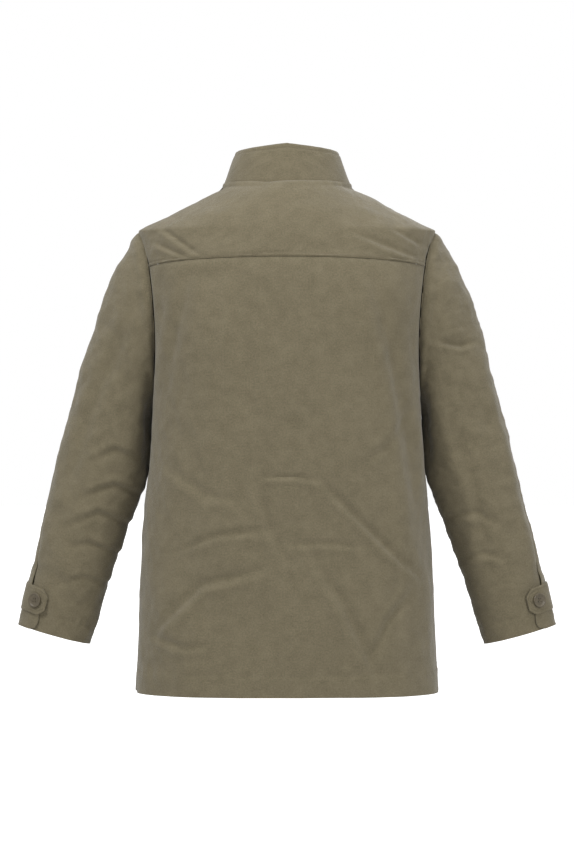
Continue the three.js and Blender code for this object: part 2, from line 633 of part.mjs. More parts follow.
for (const [side, sign] of SIDES) {
  const tapeX = ZIP_TOOTH_WIDTH + 0.3 + ZIP_TAPE_WIDTH / 2;
  add(`${side}_zip_tape`, onZip(block(sign * tapeX, -zipLength / 2, ZIP_LIFT, ZIP_TAPE_WIDTH,
    zipLength, 0.8)), TAPE_FINISH);
  const toothX = sign * (TOOTH_INNER + toothWidth / 2);
  add(`${side}_zip_teeth`, onZip(block(toothX, chainMiddle, ZIP_LIFT, toothWidth, chainLength, 2.6)),
    METAL_FINISH);
  add(`${side}_zip_stop`, onZip(block(toothX, -STOP_HEIGHT / 2, ZIP_LIFT, toothWidth, STOP_HEIGHT,
    2.4)), METAL_FINISH);
}
add('zip_box', onZip(block(0, -zipLength + BOX_HEIGHT / 2, ZIP_LIFT, 2 * ZIP_TOOTH_WIDTH,
  BOX_HEIGHT, 3.4)), METAL_FINISH);

const SLIDER = { y: -15, width: 10.5, height: 15, plate: 1.2, topLift: 0.4, backLift: -5.2 };
const LUG = { height: 3.6, width: 2, length: 8, hole: 3.6, holeHeight: 2.2 };
const lugBase = SLIDER.topLift + SLIDER.plate;
const sliderTop = block(0, SLIDER.y, SLIDER.topLift + SLIDER.plate / 2, SLIDER.width, SLIDER.height,
  SLIDER.plate);
const sliderBack = block(0, SLIDER.y, SLIDER.backLift - SLIDER.plate / 2, SLIDER.width,
  SLIDER.height, SLIDER.plate);
const bridgeDepth = SLIDER.topLift - SLIDER.backLift + SLIDER.plate;
const bridge = block(0, SLIDER.y + SLIDER.height / 2 - 3, (SLIDER.topLift + SLIDER.backLift) / 2, 1,
  5, bridgeDepth);
const lug = block(0, SLIDER.y, lugBase + LUG.height / 2 - 0.1, LUG.width, LUG.length, LUG.height)
  .subtract(block(0, SLIDER.y, lugBase + 0.2 + LUG.holeHeight / 2, LUG.width + 2, LUG.hole,
    LUG.holeHeight));
add('zip_slider', onZip(sliderTop.add(sliderBack).add(bridge).add(lug)), METAL_FINISH);
const pivotLift = lugBase + 0.2 + LUG.holeHeight / 2;
const PULL = { width: 7, length: 32, thickness: 1.4, window: 8, rail: 1.5 };
const pullPlate = block(0, SLIDER.y + PULL.thickness / 2 - PULL.length / 2, pivotLift, PULL.width,
  PULL.length, PULL.thickness);
const pullWindow = block(0, SLIDER.y - PULL.thickness / 2 - PULL.window / 2, pivotLift,
  PULL.width - 2 * PULL.rail, PULL.window, PULL.thickness + 2);
add('zip_pull', onZip(pullPlate.subtract(pullWindow)), METAL_FINISH);
jacket.userData.zip_pull = new THREE.Vector3(0, SLIDER.y, pivotLift).applyMatrix4(zipFrame).toArray();
jacket.userData.zip_slider = zipUp.toArray();

// ---- Inside the back neck -----------------------------------------------------------------
const yokeLining = (u, v) => yokePlace(0.06 + 0.88 * u, 0.02 + 0.88 * v);
add('yoke_lining', shell(onForm(yokeLining), {
  columns: 16, rows: 7, from: -YOKE_LINING_DEPTH - LINING, to: -YOKE_LINING_DEPTH, facing: -1,
}), LINING_FINISH);
const insidePatch = (width, top, height, droop = 0) => (u, v) => {
  const x = (u - 0.5) * width;
  const drop = top + height * (1 - v) + droop * (1 - (2 * u - 1) ** 2);
  return form(x / halfWidth(drop), drop);
};
const NECK_PIECE_GAP = 1.8;
const innerFace = -YOKE_LINING_DEPTH - LINING - NECK_PIECE_GAP;
add('hanger_loop', shell(insidePatch(LOOP_SPAN, 22, LOOP_WIDTH, 12), {
  columns: 10, rows: 1, from: innerFace - 1.2, to: innerFace, facing: -1,
}), TAPE_FINISH);
add('neck_label', shell(insidePatch(LABEL.width, 48, LABEL.height), {
  columns: 4, rows: 2, from: innerFace - 0.8, to: innerFace, facing: -1,
}), LABEL_FINISH);

export default jacket;
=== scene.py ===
# %% [markdown]
# # A stand-collar field jacket
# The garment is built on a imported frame: that gives every panel its place, and the Blender pieces
# give it cloth, folds, seams and stitches. All lengths are metres. The front of the jacket faces -Y
# and the wearer's left side is +X.

import math

import bmesh
import bpy
import numpy as np
from mathutils import Matrix, Vector


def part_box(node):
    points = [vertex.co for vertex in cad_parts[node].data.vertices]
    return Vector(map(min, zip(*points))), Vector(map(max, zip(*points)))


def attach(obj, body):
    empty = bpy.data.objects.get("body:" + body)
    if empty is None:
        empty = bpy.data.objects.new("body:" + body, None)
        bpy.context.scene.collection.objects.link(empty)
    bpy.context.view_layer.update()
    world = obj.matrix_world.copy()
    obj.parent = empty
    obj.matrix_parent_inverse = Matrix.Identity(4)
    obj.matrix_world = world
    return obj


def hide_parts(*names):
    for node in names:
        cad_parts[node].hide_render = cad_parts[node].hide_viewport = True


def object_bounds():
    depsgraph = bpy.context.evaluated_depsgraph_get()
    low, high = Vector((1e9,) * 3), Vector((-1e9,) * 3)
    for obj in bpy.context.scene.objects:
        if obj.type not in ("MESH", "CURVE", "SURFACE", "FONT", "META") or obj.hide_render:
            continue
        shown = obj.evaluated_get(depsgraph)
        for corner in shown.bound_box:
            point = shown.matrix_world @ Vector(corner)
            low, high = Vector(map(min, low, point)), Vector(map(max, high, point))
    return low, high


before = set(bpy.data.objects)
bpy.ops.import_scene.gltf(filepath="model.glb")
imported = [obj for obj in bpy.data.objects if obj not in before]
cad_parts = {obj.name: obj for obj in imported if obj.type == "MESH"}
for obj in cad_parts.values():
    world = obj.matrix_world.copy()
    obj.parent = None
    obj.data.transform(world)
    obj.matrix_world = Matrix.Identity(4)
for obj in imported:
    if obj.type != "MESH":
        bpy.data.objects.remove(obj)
cad_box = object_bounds()
MM = 0.001
print("frame box", [round(x, 3) for c in cad_box for x in c])

# %% [markdown]
# ## Camera, floor and light
# A long lens from four metres behind keeps the jacket's two sides almost parallel. The light is a
# soft sky, one key from the upper left that grazes the folds, and three fills. The floor and the sky
# look white to the camera, but light the jacket less than that, so its hollows stay dark.

# %% Camera behind the jacket
VIEW_DISTANCE = 4.2
VIEW_HEIGHT = -0.3745
scene = bpy.context.scene
camera_data = bpy.data.cameras.new("camera")
camera_data.lens = 115.5
camera = bpy.data.objects.new("camera", camera_data)
camera.location = (0, VIEW_DISTANCE, VIEW_HEIGHT)
camera.rotation_euler = (math.radians(90), 0, math.radians(180))
scene.collection.objects.link(camera)
scene.camera = camera
scene.view_settings.view_transform = "Standard"


# %% Node helpers
def math_node(tree, kind, a, b=None):
    node = tree.nodes.new("ShaderNodeMath")
    node.operation = kind
    for socket, value in zip(node.inputs, (a, b)):
        if value is None:
            continue
        if isinstance(value, (int, float)):
            socket.default_value = value
        else:
            tree.links.new(value, socket)
    return node.outputs[0]


def noise_node(tree, vector, scale, detail=3.0, roughness=0.55):
    node = tree.nodes.new("ShaderNodeTexNoise")
    node.inputs["Detail"].default_value = detail
    node.inputs["Roughness"].default_value = roughness
    if isinstance(scale, (int, float)):
        node.inputs["Scale"].default_value = scale
    else:
        tree.links.new(scale, node.inputs["Scale"])
    tree.links.new(vector, node.inputs["Vector"])
    return node.outputs["Fac"]


# %% Plain floor, sky and soft lights
def plain_material(name, color, roughness=0.9):
    material = bpy.data.materials.new(name)
    material.use_nodes = True
    shader = material.node_tree.nodes["Principled BSDF"]
    shader.inputs["Base Color"].default_value = (*color, 1)
    shader.inputs["Roughness"].default_value = roughness
    return material


def soft_light(name, place, size, power):
    light = bpy.data.lights.new(name, "AREA")
    light.shape = "DISK"
    light.size = size
    light.energy = power
    holder = bpy.data.objects.new(name, light)
    holder.location = place
    aim = Vector((0, 0, VIEW_HEIGHT)) - Vector(place)
    holder.rotation_euler = aim.to_track_quat("-Z", "Y").to_euler()
    scene.collection.objects.link(holder)


bpy.ops.object.select_all(action="DESELECT")
FLOOR_HEIGHT = cad_box[0].z - 0.55
bpy.ops.mesh.primitive_plane_add(size=60, location=(0, 0, FLOOR_HEIGHT))
floor = bpy.context.object
floor.name = "floor"
pale_floor = plain_material("pale_floor", (0.6, 0.6, 0.6))
floor.data.materials.append(pale_floor)
world = bpy.data.worlds.new("sky")
world.use_nodes = True
world.node_tree.nodes["Background"].inputs[0].default_value = (1, 1, 1, 1)
scene.world = world


def seen_by_camera(tree, unseen, seen):
    """A strength that is one value in the picture and another as light on the jacket."""
    path = tree.nodes.new("ShaderNodeLightPath")
    share = math_node(tree, "MULTIPLY", path.outputs["Is Camera Ray"], seen - unseen)
    return math_node(tree, "ADD", share, unseen)


sky_tree, floor_tree = world.node_tree, pale_floor.node_tree
sky_tree.links.new(seen_by_camera(sky_tree, 0.6, 1.0), sky_tree.nodes["Background"].inputs[1])
glow = floor_tree.nodes["Principled BSDF"]
glow.inputs["Emission Color"].default_value = (1, 1, 1, 1)
floor_tree.links.new(seen_by_camera(floor_tree, 0.0, 1.0), glow.inputs["Emission Strength"])
soft_light("key_left", (2.4, 2.2, 2.4), 0.8, 88)
soft_light("fill_right", (-2.6, 2.8, 0.9), 1.4, 62)
soft_light("front", (-1.6, -3.0, 1.2), 1.6, 30)
soft_light("top", (0, 0.5, 2.6), 1.2, 34)

# %% [markdown]
# ## The wearer's form
# All panels lie on one shape: rounded rings that widen from the neck to the shoulders and again to
# the hem. Drawing every panel on the same rings is what a tailor's stand does for a real jacket: the
# edges of two panels meet because both follow the stand.

# %% Sizes of the form
LENGTH = -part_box("back_panel")[0].z
HEM_HALF_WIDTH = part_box("back_panel")[1].x
BACK_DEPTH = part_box("back_panel")[1].y
CHEST_HALF_WIDTH = 201 * MM
FRONT_DEPTH = 138 * MM
NECK_HALF_WIDTH = 98 * MM
NECK_BACK_DEPTH = 75 * MM
NECK_FRONT_DEPTH = 104 * MM
NECK_FRONT_DROP = 82 * MM
NECK_SIDE_DROP = 9 * MM
SHOULDER_HALF_WIDTH = 225 * MM
SHOULDER_DROP = 73 * MM
ARMPIT_DROP = 308 * MM
SQUARENESS = 2.9
ARMHOLE_BACK = 60 * MM
ARMHOLE_FRONT = 70 * MM
YOKE_DROP = 117 * MM
YOKE_END_DROP = 129 * MM
COLLAR_HEIGHT = 57 * MM
COLLAR_TAPER = 0.79
CLOTH = 1.2 * MM
QUARTER = math.pi / 2
ARMHOLE_MIDDLE = (SHOULDER_DROP + ARMPIT_DROP) / 2
ARMHOLE_HALF_HEIGHT = (ARMPIT_DROP - SHOULDER_DROP) / 2


POCKETS = {
    "chest": dict(x=88 * MM, top=268 * MM, width=104 * MM, height=128 * MM, depth=13 * MM, flap=54 * MM),
    "hip": dict(x=102 * MM, top=496 * MM, width=136 * MM, height=170 * MM, depth=16 * MM, flap=62 * MM),
}
MOUTH_OVERLAP = 9 * MM

# %% Rings of the form
def mix(a, b, t):
    return a + (b - a) * t


def smooth(x, low, high):
    t = np.clip((x - low) / (high - low), 0, 1)
    return t * t * (3 - 2 * t)


def profile(points, drop):
    """Smooth curve through (drop, value) pairs, listed from the neck down."""
    d = np.array([p[0] for p in points])
    v = np.array([p[1] for p in points])
    steps = np.diff(v) / np.diff(d)
    slopes = np.concatenate([[steps[0]], (v[2:] - v[:-2]) / (d[2:] - d[:-2]), [steps[-1]]])
    x = np.clip(drop, d[0], d[-1])
    i = np.clip(np.searchsorted(d, x, side="right") - 1, 0, len(d) - 2)
    span = d[i + 1] - d[i]
    t = (x - d[i]) / span
    start = (2 * t**3 - 3 * t**2 + 1) * v[i] + (t**3 - 2 * t**2 + t) * span * slopes[i]
    return start + (3 * t**2 - 2 * t**3) * v[i + 1] + (t**3 - t**2) * span * slopes[i + 1]


SIDE = [
    (SHOULDER_DROP, SHOULDER_HALF_WIDTH),
    (SHOULDER_DROP + 45 * MM, SHOULDER_HALF_WIDTH - 7 * MM),
    (ARMHOLE_MIDDLE, CHEST_HALF_WIDTH + 7 * MM),
    (ARMPIT_DROP, CHEST_HALF_WIDTH),
    (mix(ARMPIT_DROP, LENGTH, 0.5), mix(CHEST_HALF_WIDTH, HEM_HALF_WIDTH, 0.56)),
    (LENGTH, HEM_HALF_WIDTH),
]
BACK = [
    (0, NECK_BACK_DEPTH),
    (20 * MM, NECK_BACK_DEPTH + 15 * MM),
    (60 * MM, NECK_BACK_DEPTH + 35 * MM),
    (YOKE_DROP, BACK_DEPTH - 17 * MM),
    (ARMHOLE_MIDDLE, BACK_DEPTH - 5 * MM),
    (ARMPIT_DROP, BACK_DEPTH),
    (LENGTH, BACK_DEPTH),
]


def half_width(drop):
    share = np.clip((drop - NECK_SIDE_DROP) / (SHOULDER_DROP - NECK_SIDE_DROP), 0, 1)
    above = mix(NECK_HALF_WIDTH, SHOULDER_HALF_WIDTH, share)
    return np.where(drop >= SHOULDER_DROP, profile(SIDE, drop), above)


def front_depth(drop):
    below = mix(NECK_FRONT_DEPTH, FRONT_DEPTH, (drop - NECK_FRONT_DROP) / (LENGTH - NECK_FRONT_DROP))
    share = np.clip((drop - NECK_SIDE_DROP) / (NECK_FRONT_DROP - NECK_SIDE_DROP), 0, 1)
    above = mix(NECK_FRONT_DEPTH * 0.72, NECK_FRONT_DEPTH, np.sqrt(share))
    return np.where(drop >= NECK_FRONT_DROP, below, above)


def depth_at(drop, back):
    return np.where(back, profile(BACK, drop), front_depth(drop))


def squareness(drop):
    return mix(2.0, SQUARENESS, smooth(drop, SHOULDER_DROP / 2, ARMHOLE_MIDDLE))


def form(angle, drop):
    """Point of the form: angle 0 is the centre back and a half turn the centre front."""
    n = squareness(drop)
    s, c = np.sin(angle), np.cos(angle)
    k = (np.abs(s) ** n + np.abs(c) ** n) ** (-1 / n)
    return np.stack([half_width(drop) * k * s, depth_at(drop, c >= 0) * k * c, -drop + 0 * k], -1)


def front_angle_at(x, drop):
    n = squareness(drop)
    share = np.minimum(np.abs(x) / half_width(drop), 1)
    return np.arctan2(share, -((1 - share**n) ** (1 / n)))


def armhole_angle(drop, reach):
    offset = (drop - ARMHOLE_MIDDLE) / ARMHOLE_HALF_HEIGHT
    y = abs(reach) * np.sqrt(np.maximum(0, 1 - offset**2))
    back = reach > 0
    share = y / depth_at(drop, back)
    n = squareness(drop)
    angle = np.arctan2((1 - share**n) ** (1 / n), share if back else -share)
    return np.where((offset >= 1) | (drop <= SHOULDER_DROP), QUARTER, angle)


def neck_seam(share):
    """Angle and drop of the neck seam, from the centre back (0) to the centre front (1)."""
    turn = np.asarray(share, float) * math.pi
    x = NECK_HALF_WIDTH * np.sin(turn)
    y = np.where(turn < QUARTER, NECK_BACK_DEPTH, NECK_FRONT_DEPTH) * np.cos(turn)
    high, low = np.zeros_like(x), np.full_like(x, ARMPIT_DROP)
    for _ in range(40):
        drop = (high + low) / 2
        n = squareness(drop)
        outside = (np.abs(x) / half_width(drop)) ** n + (np.abs(y) / depth_at(drop, y >= 0)) ** n > 1
        high, low = np.where(outside, drop, high), np.where(outside, low, drop)
    return np.arctan2(x / half_width(low), y / depth_at(low, y >= 0)), low


print("hem", round(2 * HEM_HALF_WIDTH, 3), "wide, length", round(LENGTH, 3))

# %% [markdown]
# ## Cloth finishes
# The shell is a dense cotton and polyamide weave with a peached face: matte, a little lighter where
# fibres stand up at grazing angles, and faintly mottled. The weave runs on each panel's own UV map,
# in metres, as real grain follows the cut. One node group makes the weave for every cloth.

# %% Weave node group
def new_group(name, inputs, outputs):
    group = bpy.data.node_groups.new(name, "ShaderNodeTree")
    for label, kind, value in inputs:
        socket = group.interface.new_socket(label, in_out="INPUT", socket_type=kind)
        if value is not None:
            socket.default_value = value
    for label, kind in outputs:
        group.interface.new_socket(label, in_out="OUTPUT", socket_type=kind)
    return group, group.nodes.new("NodeGroupInput"), group.nodes.new("NodeGroupOutput")


def make_weave():
    group, given, made = new_group(
        "weave",
        [("Grain", "NodeSocketVector", None), ("Threads", "NodeSocketFloat", 330.0),
         ("Mottle", "NodeSocketFloat", 48.0)],
        [("Thread Height", "NodeSocketFloat"), ("Tone", "NodeSocketFloat"), ("Rumple", "NodeSocketFloat")],
    )
    grain = given.outputs["Grain"]
    waves = []
    for direction in ("X", "Y"):
        wave = group.nodes.new("ShaderNodeTexWave")
        wave.bands_direction = direction
        wave.inputs["Distortion"].default_value = 1.4
        wave.inputs["Detail Scale"].default_value = 3.0
        group.links.new(grain, wave.inputs["Vector"])
        group.links.new(given.outputs["Threads"], wave.inputs["Scale"])
        waves.append(wave.outputs["Fac"])
    crossing = math_node(group, "MAXIMUM", *waves)
    fuzz = noise_node(group, grain, 2600.0, 2.0)
    height = math_node(group, "ADD", crossing, math_node(group, "MULTIPLY", fuzz, 0.8))
    group.links.new(height, made.inputs["Thread Height"])
    broad = noise_node(group, grain, given.outputs["Mottle"], 5.0, 0.62)
    fine = noise_node(group, grain, 420.0, 4.0, 0.7)
    tone = math_node(group, "ADD", math_node(group, "MULTIPLY", broad, 0.32),
                     math_node(group, "MULTIPLY", fine, 0.68))
    group.links.new(tone, made.inputs["Tone"])
    rumple = noise_node(group, grain, 75.0, 6.0, 0.62)
    group.links.new(rumple, made.inputs["Rumple"])
    return group


weave = make_weave()


# %% Cloth materials
def cloth_material(name, dark, light, threads=330.0, sheen=0.25, roughness=0.92, relief=0.5):
    material = bpy.data.materials.new(name)
    material.use_nodes = True
    tree = material.node_tree
    shader = tree.nodes["Principled BSDF"]
    uv = tree.nodes.new("ShaderNodeUVMap")
    uv.uv_map = "grain"
    cloth = tree.nodes.new("ShaderNodeGroup")
    cloth.node_tree = weave
    cloth.inputs["Threads"].default_value = threads
    tree.links.new(uv.outputs["UV"], cloth.inputs["Grain"])
    ramp = tree.nodes.new("ShaderNodeValToRGB")
    ramp.color_ramp.elements[0].position = 0.32
    ramp.color_ramp.elements[0].color = (*dark, 1)
    ramp.color_ramp.elements[1].position = 0.68
    ramp.color_ramp.elements[1].color = (*light, 1)
    tree.links.new(cloth.outputs["Tone"], ramp.inputs["Fac"])
    tree.links.new(ramp.outputs["Color"], shader.inputs["Base Color"])
    threads_bump = tree.nodes.new("ShaderNodeBump")
    threads_bump.inputs["Distance"].default_value = 0.00025
    threads_bump.inputs["Strength"].default_value = relief
    tree.links.new(cloth.outputs["Thread Height"], threads_bump.inputs["Height"])
    rumple_bump = tree.nodes.new("ShaderNodeBump")
    rumple_bump.inputs["Distance"].default_value = 0.0022
    rumple_bump.inputs["Strength"].default_value = relief
    tree.links.new(cloth.outputs["Rumple"], rumple_bump.inputs["Height"])
    tree.links.new(threads_bump.outputs["Normal"], rumple_bump.inputs["Normal"])
    tree.links.new(rumple_bump.outputs["Normal"], shader.inputs["Normal"])
    shader.inputs["Roughness"].default_value = roughness
    shader.inputs["Sheen Weight"].default_value = sheen
    shader.inputs["Sheen Roughness"].default_value = 0.5
    shader.inputs["Specular IOR Level"].default_value = 0.25
    return material


shell_cloth = cloth_material("olive_shell", (0.101, 0.086, 0.050), (0.186, 0.158, 0.100))
lining_cloth = cloth_material("dark_lining", (0.060, 0.052, 0.036), (0.082, 0.072, 0.050),
                              threads=600.0, sheen=0.05, roughness=0.6, relief=0.25)
tape_cloth = cloth_material("zip_tape", (0.088, 0.074, 0.046), (0.115, 0.098, 0.062), threads=500.0)
label_cloth = cloth_material("blank_label", (0.020, 0.019, 0.015), (0.030, 0.028, 0.022), 700.0)
thread = plain_material("sewing_thread", (0.135, 0.115, 0.075), 0.8)

# %% [markdown]
# ## Folds
# Cloth shows its weight and its seams through folds. Each drag line is a soft trough with a ridge
# beside it, laid along a few points, and a slow uneven wave stands for the rest of the fabric's
# movement. Near a seam the cloth rolls inwards, and near a stitch line it puckers.

# %% Waves, drag lines and seam rolls
def waves(points, seed, longest, shortest, count=26):
    """Smooth uneven wave from -1 to 1, made of sine waves in seeded directions."""
    random = np.random.default_rng(seed)
    total = np.zeros(points.shape[:-1])
    bend = np.sin(points @ random.normal(size=3) / longest * 3 + random.uniform(0, 6))
    for _ in range(count):
        direction = random.normal(size=3)
        direction /= np.linalg.norm(direction)
        length = np.exp(random.uniform(np.log(shortest), np.log(longest)))
        phase = random.uniform(0, 2 * math.pi) + bend
        total += np.sin(points @ direction * 2 * math.pi / length + phase) * length / longest
    return total / np.sqrt(count) * 1.4


def drag_line(points, path, width, depth, ridge=0.6):
    """Trough of one fold seen along Y: path lists (x, z), width is its half width."""
    best = np.full(points.shape[:-1], 1e9)
    side = np.zeros_like(best)
    along = np.zeros_like(best)
    path = np.array(path, float)
    lengths = np.linalg.norm(np.diff(path, axis=0), axis=1)
    total, before = lengths.sum(), 0.0
    flat = points[..., [0, 2]]
    for a, b, length in zip(path[:-1], path[1:], lengths):
        step = (b - a) / length
        offset = flat - a
        t = np.clip(offset @ step, 0, length)
        gap = offset - t[..., None] * step
        distance = np.linalg.norm(gap, axis=-1)
        closer = distance < best
        best = np.where(closer, distance, best)
        side = np.where(closer, step[0] * gap[..., 1] - step[1] * gap[..., 0], side)
        along = np.where(closer, (before + t) / total, along)
        before += length
    fade = np.sin(np.clip(along, 0.02, 0.98) * math.pi) ** 0.6
    signed = np.sign(side) * best
    trough = -np.exp(-((signed / (0.62 * width)) ** 2))
    crest = ridge * np.exp(-(((signed - 1.1 * width) / (0.7 * width)) ** 2))
    return (trough + crest) * depth * fade


def near(distance, reach):
    return np.exp(-((distance / reach) ** 2))


def seam_roll(distance, depth=1.5 * MM, reach=3 * MM):
    return -depth * near(distance, reach)


def stitch_groove(distance, place, points, seed, pucker=0.7 * MM):
    wave = waves(points, seed, 24 * MM, 9 * MM, 10)
    return -0.9 * MM * near(distance - place, 1.6 * MM) + pucker * wave * near(distance - place, 11 * MM)


# %% Panels from the form
class Panel:
    """Points, outward normals and distances along the cloth for one grid of a surface."""

    def __init__(self, surface, columns, rows, sign=1, outward=1):
        u, v = np.meshgrid(np.linspace(0, 1, columns + 1), np.linspace(0, 1, rows + 1))
        self.u, self.v, self.sign = u, v, sign
        self.columns, self.rows = columns, rows
        points = surface(u, v)
        points[..., 0] *= sign
        self.points = points
        across = np.gradient(points, axis=1)
        along = np.gradient(points, axis=0)
        normal = np.cross(across, along)
        size = np.linalg.norm(normal, axis=-1, keepdims=True)
        self.facing = outward * sign
        self.normal = normal / np.maximum(size, 1e-12) * self.facing
        step_u = np.linalg.norm(np.diff(points, axis=1), axis=-1)
        step_v = np.linalg.norm(np.diff(points, axis=0), axis=-1)
        self.left = np.pad(np.cumsum(step_u, axis=1), ((0, 0), (1, 0)))
        self.bottom = np.pad(np.cumsum(step_v, axis=0), ((1, 0), (0, 0)))
        self.right = self.left[:, -1:] - self.left
        self.top = self.bottom[-1:, :] - self.bottom
        self.lift = np.zeros_like(u)

    def place(self):
        return self.points + self.normal * self.lift[..., None]


def cloth(name, panel, material, slot, nodes, thickness=CLOTH, held="hung", rests_on="back_yoke",
          body="jacket", around=False):
    """A sheet of cloth as a thickened grid, with its grain as a UV map in metres."""
    bpy.ops.object.select_all(action="DESELECT")
    bpy.ops.mesh.primitive_grid_add(x_subdivisions=panel.columns, y_subdivisions=panel.rows, size=1)
    piece = bpy.context.object
    piece.name = name
    mesh = piece.data
    mesh.name = name
    flat = np.zeros(len(mesh.vertices) * 3)
    mesh.vertices.foreach_get("co", flat)
    flat = flat.reshape(-1, 3)
    i = np.rint((flat[:, 0] + 0.5) * panel.columns).astype(int)
    j = np.rint((flat[:, 1] + 0.5) * panel.rows).astype(int)
    mesh.vertices.foreach_set("co", panel.place()[j, i].ravel())
    grain = mesh.uv_layers[0]
    grain.name = "grain"
    corner = np.zeros(len(mesh.loops), int)
    mesh.loops.foreach_get("vertex_index", corner)
    middle = panel.left - panel.left[:, -1:] / 2
    uv = np.stack([middle[j, i], panel.bottom[j, i]], -1)[corner]
    grain.data.foreach_set("uv", uv.ravel())
    if panel.facing < 0:
        bpy.ops.object.mode_set(mode="EDIT")
        bpy.ops.mesh.select_all(action="SELECT")
        bpy.ops.mesh.flip_normals()
        bpy.ops.object.mode_set(mode="OBJECT")
    if around:
        bpy.ops.object.mode_set(mode="EDIT")
        bpy.ops.mesh.select_all(action="SELECT")
        bpy.ops.mesh.remove_doubles(threshold=1e-6)
        bpy.ops.object.mode_set(mode="OBJECT")
    wall = piece.modifiers.new("thickness", "SOLIDIFY")
    wall.thickness = thickness
    wall.offset = -1
    bpy.ops.object.modifier_apply(modifier=wall.name)
    bpy.ops.object.shade_smooth_by_angle(angle=math.radians(50))
    mesh.materials.append(material)
    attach(piece, body)
    if nodes:
        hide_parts(*nodes)
    return piece


# %% Stitches: one small bead of thread, repeated along a line
bpy.ops.object.select_all(action="DESELECT")
bpy.ops.mesh.primitive_uv_sphere_add(segments=6, ring_count=4, radius=1)
bead = bpy.context.object
bead_points = np.array([v.co for v in bead.data.vertices])
bead_faces = [list(p.vertices) for p in bead.data.polygons]
bpy.data.objects.remove(bead)
STITCH = 3.4 * MM


def stitches(name, line, normals, body="jacket", slot="shell_cloth", gap=0.3):
    """Thread lying along a line of points, one bead for each stitch."""
    line, normals = np.asarray(line, float), np.asarray(normals, float)
    steps = np.concatenate([[0], np.cumsum(np.linalg.norm(np.diff(line, axis=0), axis=1))])
    count = max(int(steps[-1] / STITCH), 1)
    at = (np.arange(count) + 0.5) * STITCH
    centre = np.stack([np.interp(at, steps, line[:, k]) for k in range(3)], -1)
    ahead = np.stack([np.interp(at + 0.5 * MM, steps, line[:, k]) for k in range(3)], -1) - centre
    ahead /= np.maximum(np.linalg.norm(ahead, axis=1, keepdims=True), 1e-9)
    up = np.stack([np.interp(at, steps, normals[:, k]) for k in range(3)], -1)
    side = np.cross(up, ahead)
    half = np.array([STITCH * (1 - gap) / 2, 0.32 * MM, 0.26 * MM])
    local = bead_points * half
    points = (centre[:, None] + local[None, :, :1] * ahead[:, None] + local[None, :, 1:2] * side[:, None]
              + local[None, :, 2:] * up[:, None])
    faces = [[i + k * len(bead_points) for i in f] for k in range(count) for f in bead_faces]
    mesh = bpy.data.meshes.new(name)
    mesh.from_pydata(points.reshape(-1, 3).tolist(), [], faces)
    mesh.materials.append(thread)
    piece = bpy.data.objects.new(name, mesh)
    scene.collection.objects.link(piece)
    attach(piece, body)
    return piece


def stitch_row(name, panel, distance, place, trim=0, **more):
    """Stitches where a distance map of the panel equals place, one point for each column or row."""
    down_columns = np.ptp(distance, axis=0).mean() > np.ptp(distance, axis=1).mean()
    spots, normals = [], []
    shape = panel.place()
    for k in range(distance.shape[1 if down_columns else 0]):
        d = distance[:, k] if down_columns else distance[k]
        p = shape[:, k] if down_columns else shape[k]
        n = panel.normal[:, k] if down_columns else panel.normal[k]
        order = np.argsort(d)
        spots.append([np.interp(place, d[order], p[order, a]) for a in range(3)])
        normals.append([np.interp(place, d[order], n[order, a]) for a in range(3)])
    return stitches(name, spots[trim:], normals[trim:], **more)

# %% [markdown]
# ## Back panel
# One piece of cloth from the yoke seam to the hem. Its weight hangs from the yoke and the armholes,
# so drag lines run down from the armholes, and it creases across the small of the back. The hem is
# turned up and stitched 33 mm above its edge.

# %% Back panel
HEM_STITCH = 33 * MM
SIDE_SHARE = 0.55


def side_drop(v, top):
    end = math.acos(min((ARMHOLE_MIDDLE - top) / ARMHOLE_HALF_HEIGHT, 1))
    turn = mix(math.pi, end, np.clip((v - SIDE_SHARE) / (1 - SIDE_SHARE), 0, 1))
    above = ARMHOLE_MIDDLE - ARMHOLE_HALF_HEIGHT * np.cos(turn)
    return np.where(v <= SIDE_SHARE, mix(LENGTH, ARMPIT_DROP, v / SIDE_SHARE), above)


def back_surface(u, v):
    across = 2 * u - 1
    edge = side_drop(v, YOKE_END_DROP)
    drop = mix(mix(LENGTH, YOKE_DROP, v), edge, across * across)
    return form(across * armhole_angle(edge, ARMHOLE_BACK), drop)


FOLD = 1.6
DRAG_LINES = [
    ([(-0.122, -0.130), (-0.159, -0.263), (-0.189, -0.433), (-0.196, -0.543)], 0.019, 3.6 * MM),
    ([(0.147, -0.130), (0.187, -0.330)], 0.016, 2.2 * MM),
    ([(0.069, -0.138), (0.055, -0.359)], 0.020, 1.8 * MM),
    ([(0.046, -0.452), (0.035, -0.443), (-0.020, -0.443), (-0.052, -0.450)], 0.006, 1.9 * MM),
    ([(-0.046, -0.446), (-0.108, -0.506), (-0.167, -0.565), (-0.206, -0.597)], 0.009, 3.0 * MM),
    ([(0.044, -0.452), (0.024, -0.525), (-0.002, -0.570)], 0.010, 1.9 * MM),
    ([(-0.040, -0.565), (-0.080, -0.625), (-0.110, -0.684), (-0.143, -0.760)], 0.013, 3.0 * MM),
    ([(0.165, -0.555), (0.106, -0.529), (0.030, -0.521)], 0.008, 2.2 * MM),
    ([(0.206, -0.682), (0.128, -0.602), (0.036, -0.580)], 0.011, 3.0 * MM),
    ([(0.212, -0.676), (0.150, -0.696), (0.110, -0.690)], 0.008, 1.8 * MM),
    ([(-0.004, -0.543), (-0.060, -0.540), (-0.108, -0.545)], 0.007, 1.5 * MM),
    ([(-0.190, -0.610), (-0.150, -0.655), (-0.120, -0.720)], 0.010, 1.8 * MM),
    ([(0.190, -0.420), (0.120, -0.470), (0.060, -0.480)], 0.012, 1.4 * MM),
    ([(-0.196, -0.330), (-0.150, -0.400), (-0.100, -0.430)], 0.012, 1.4 * MM),
]

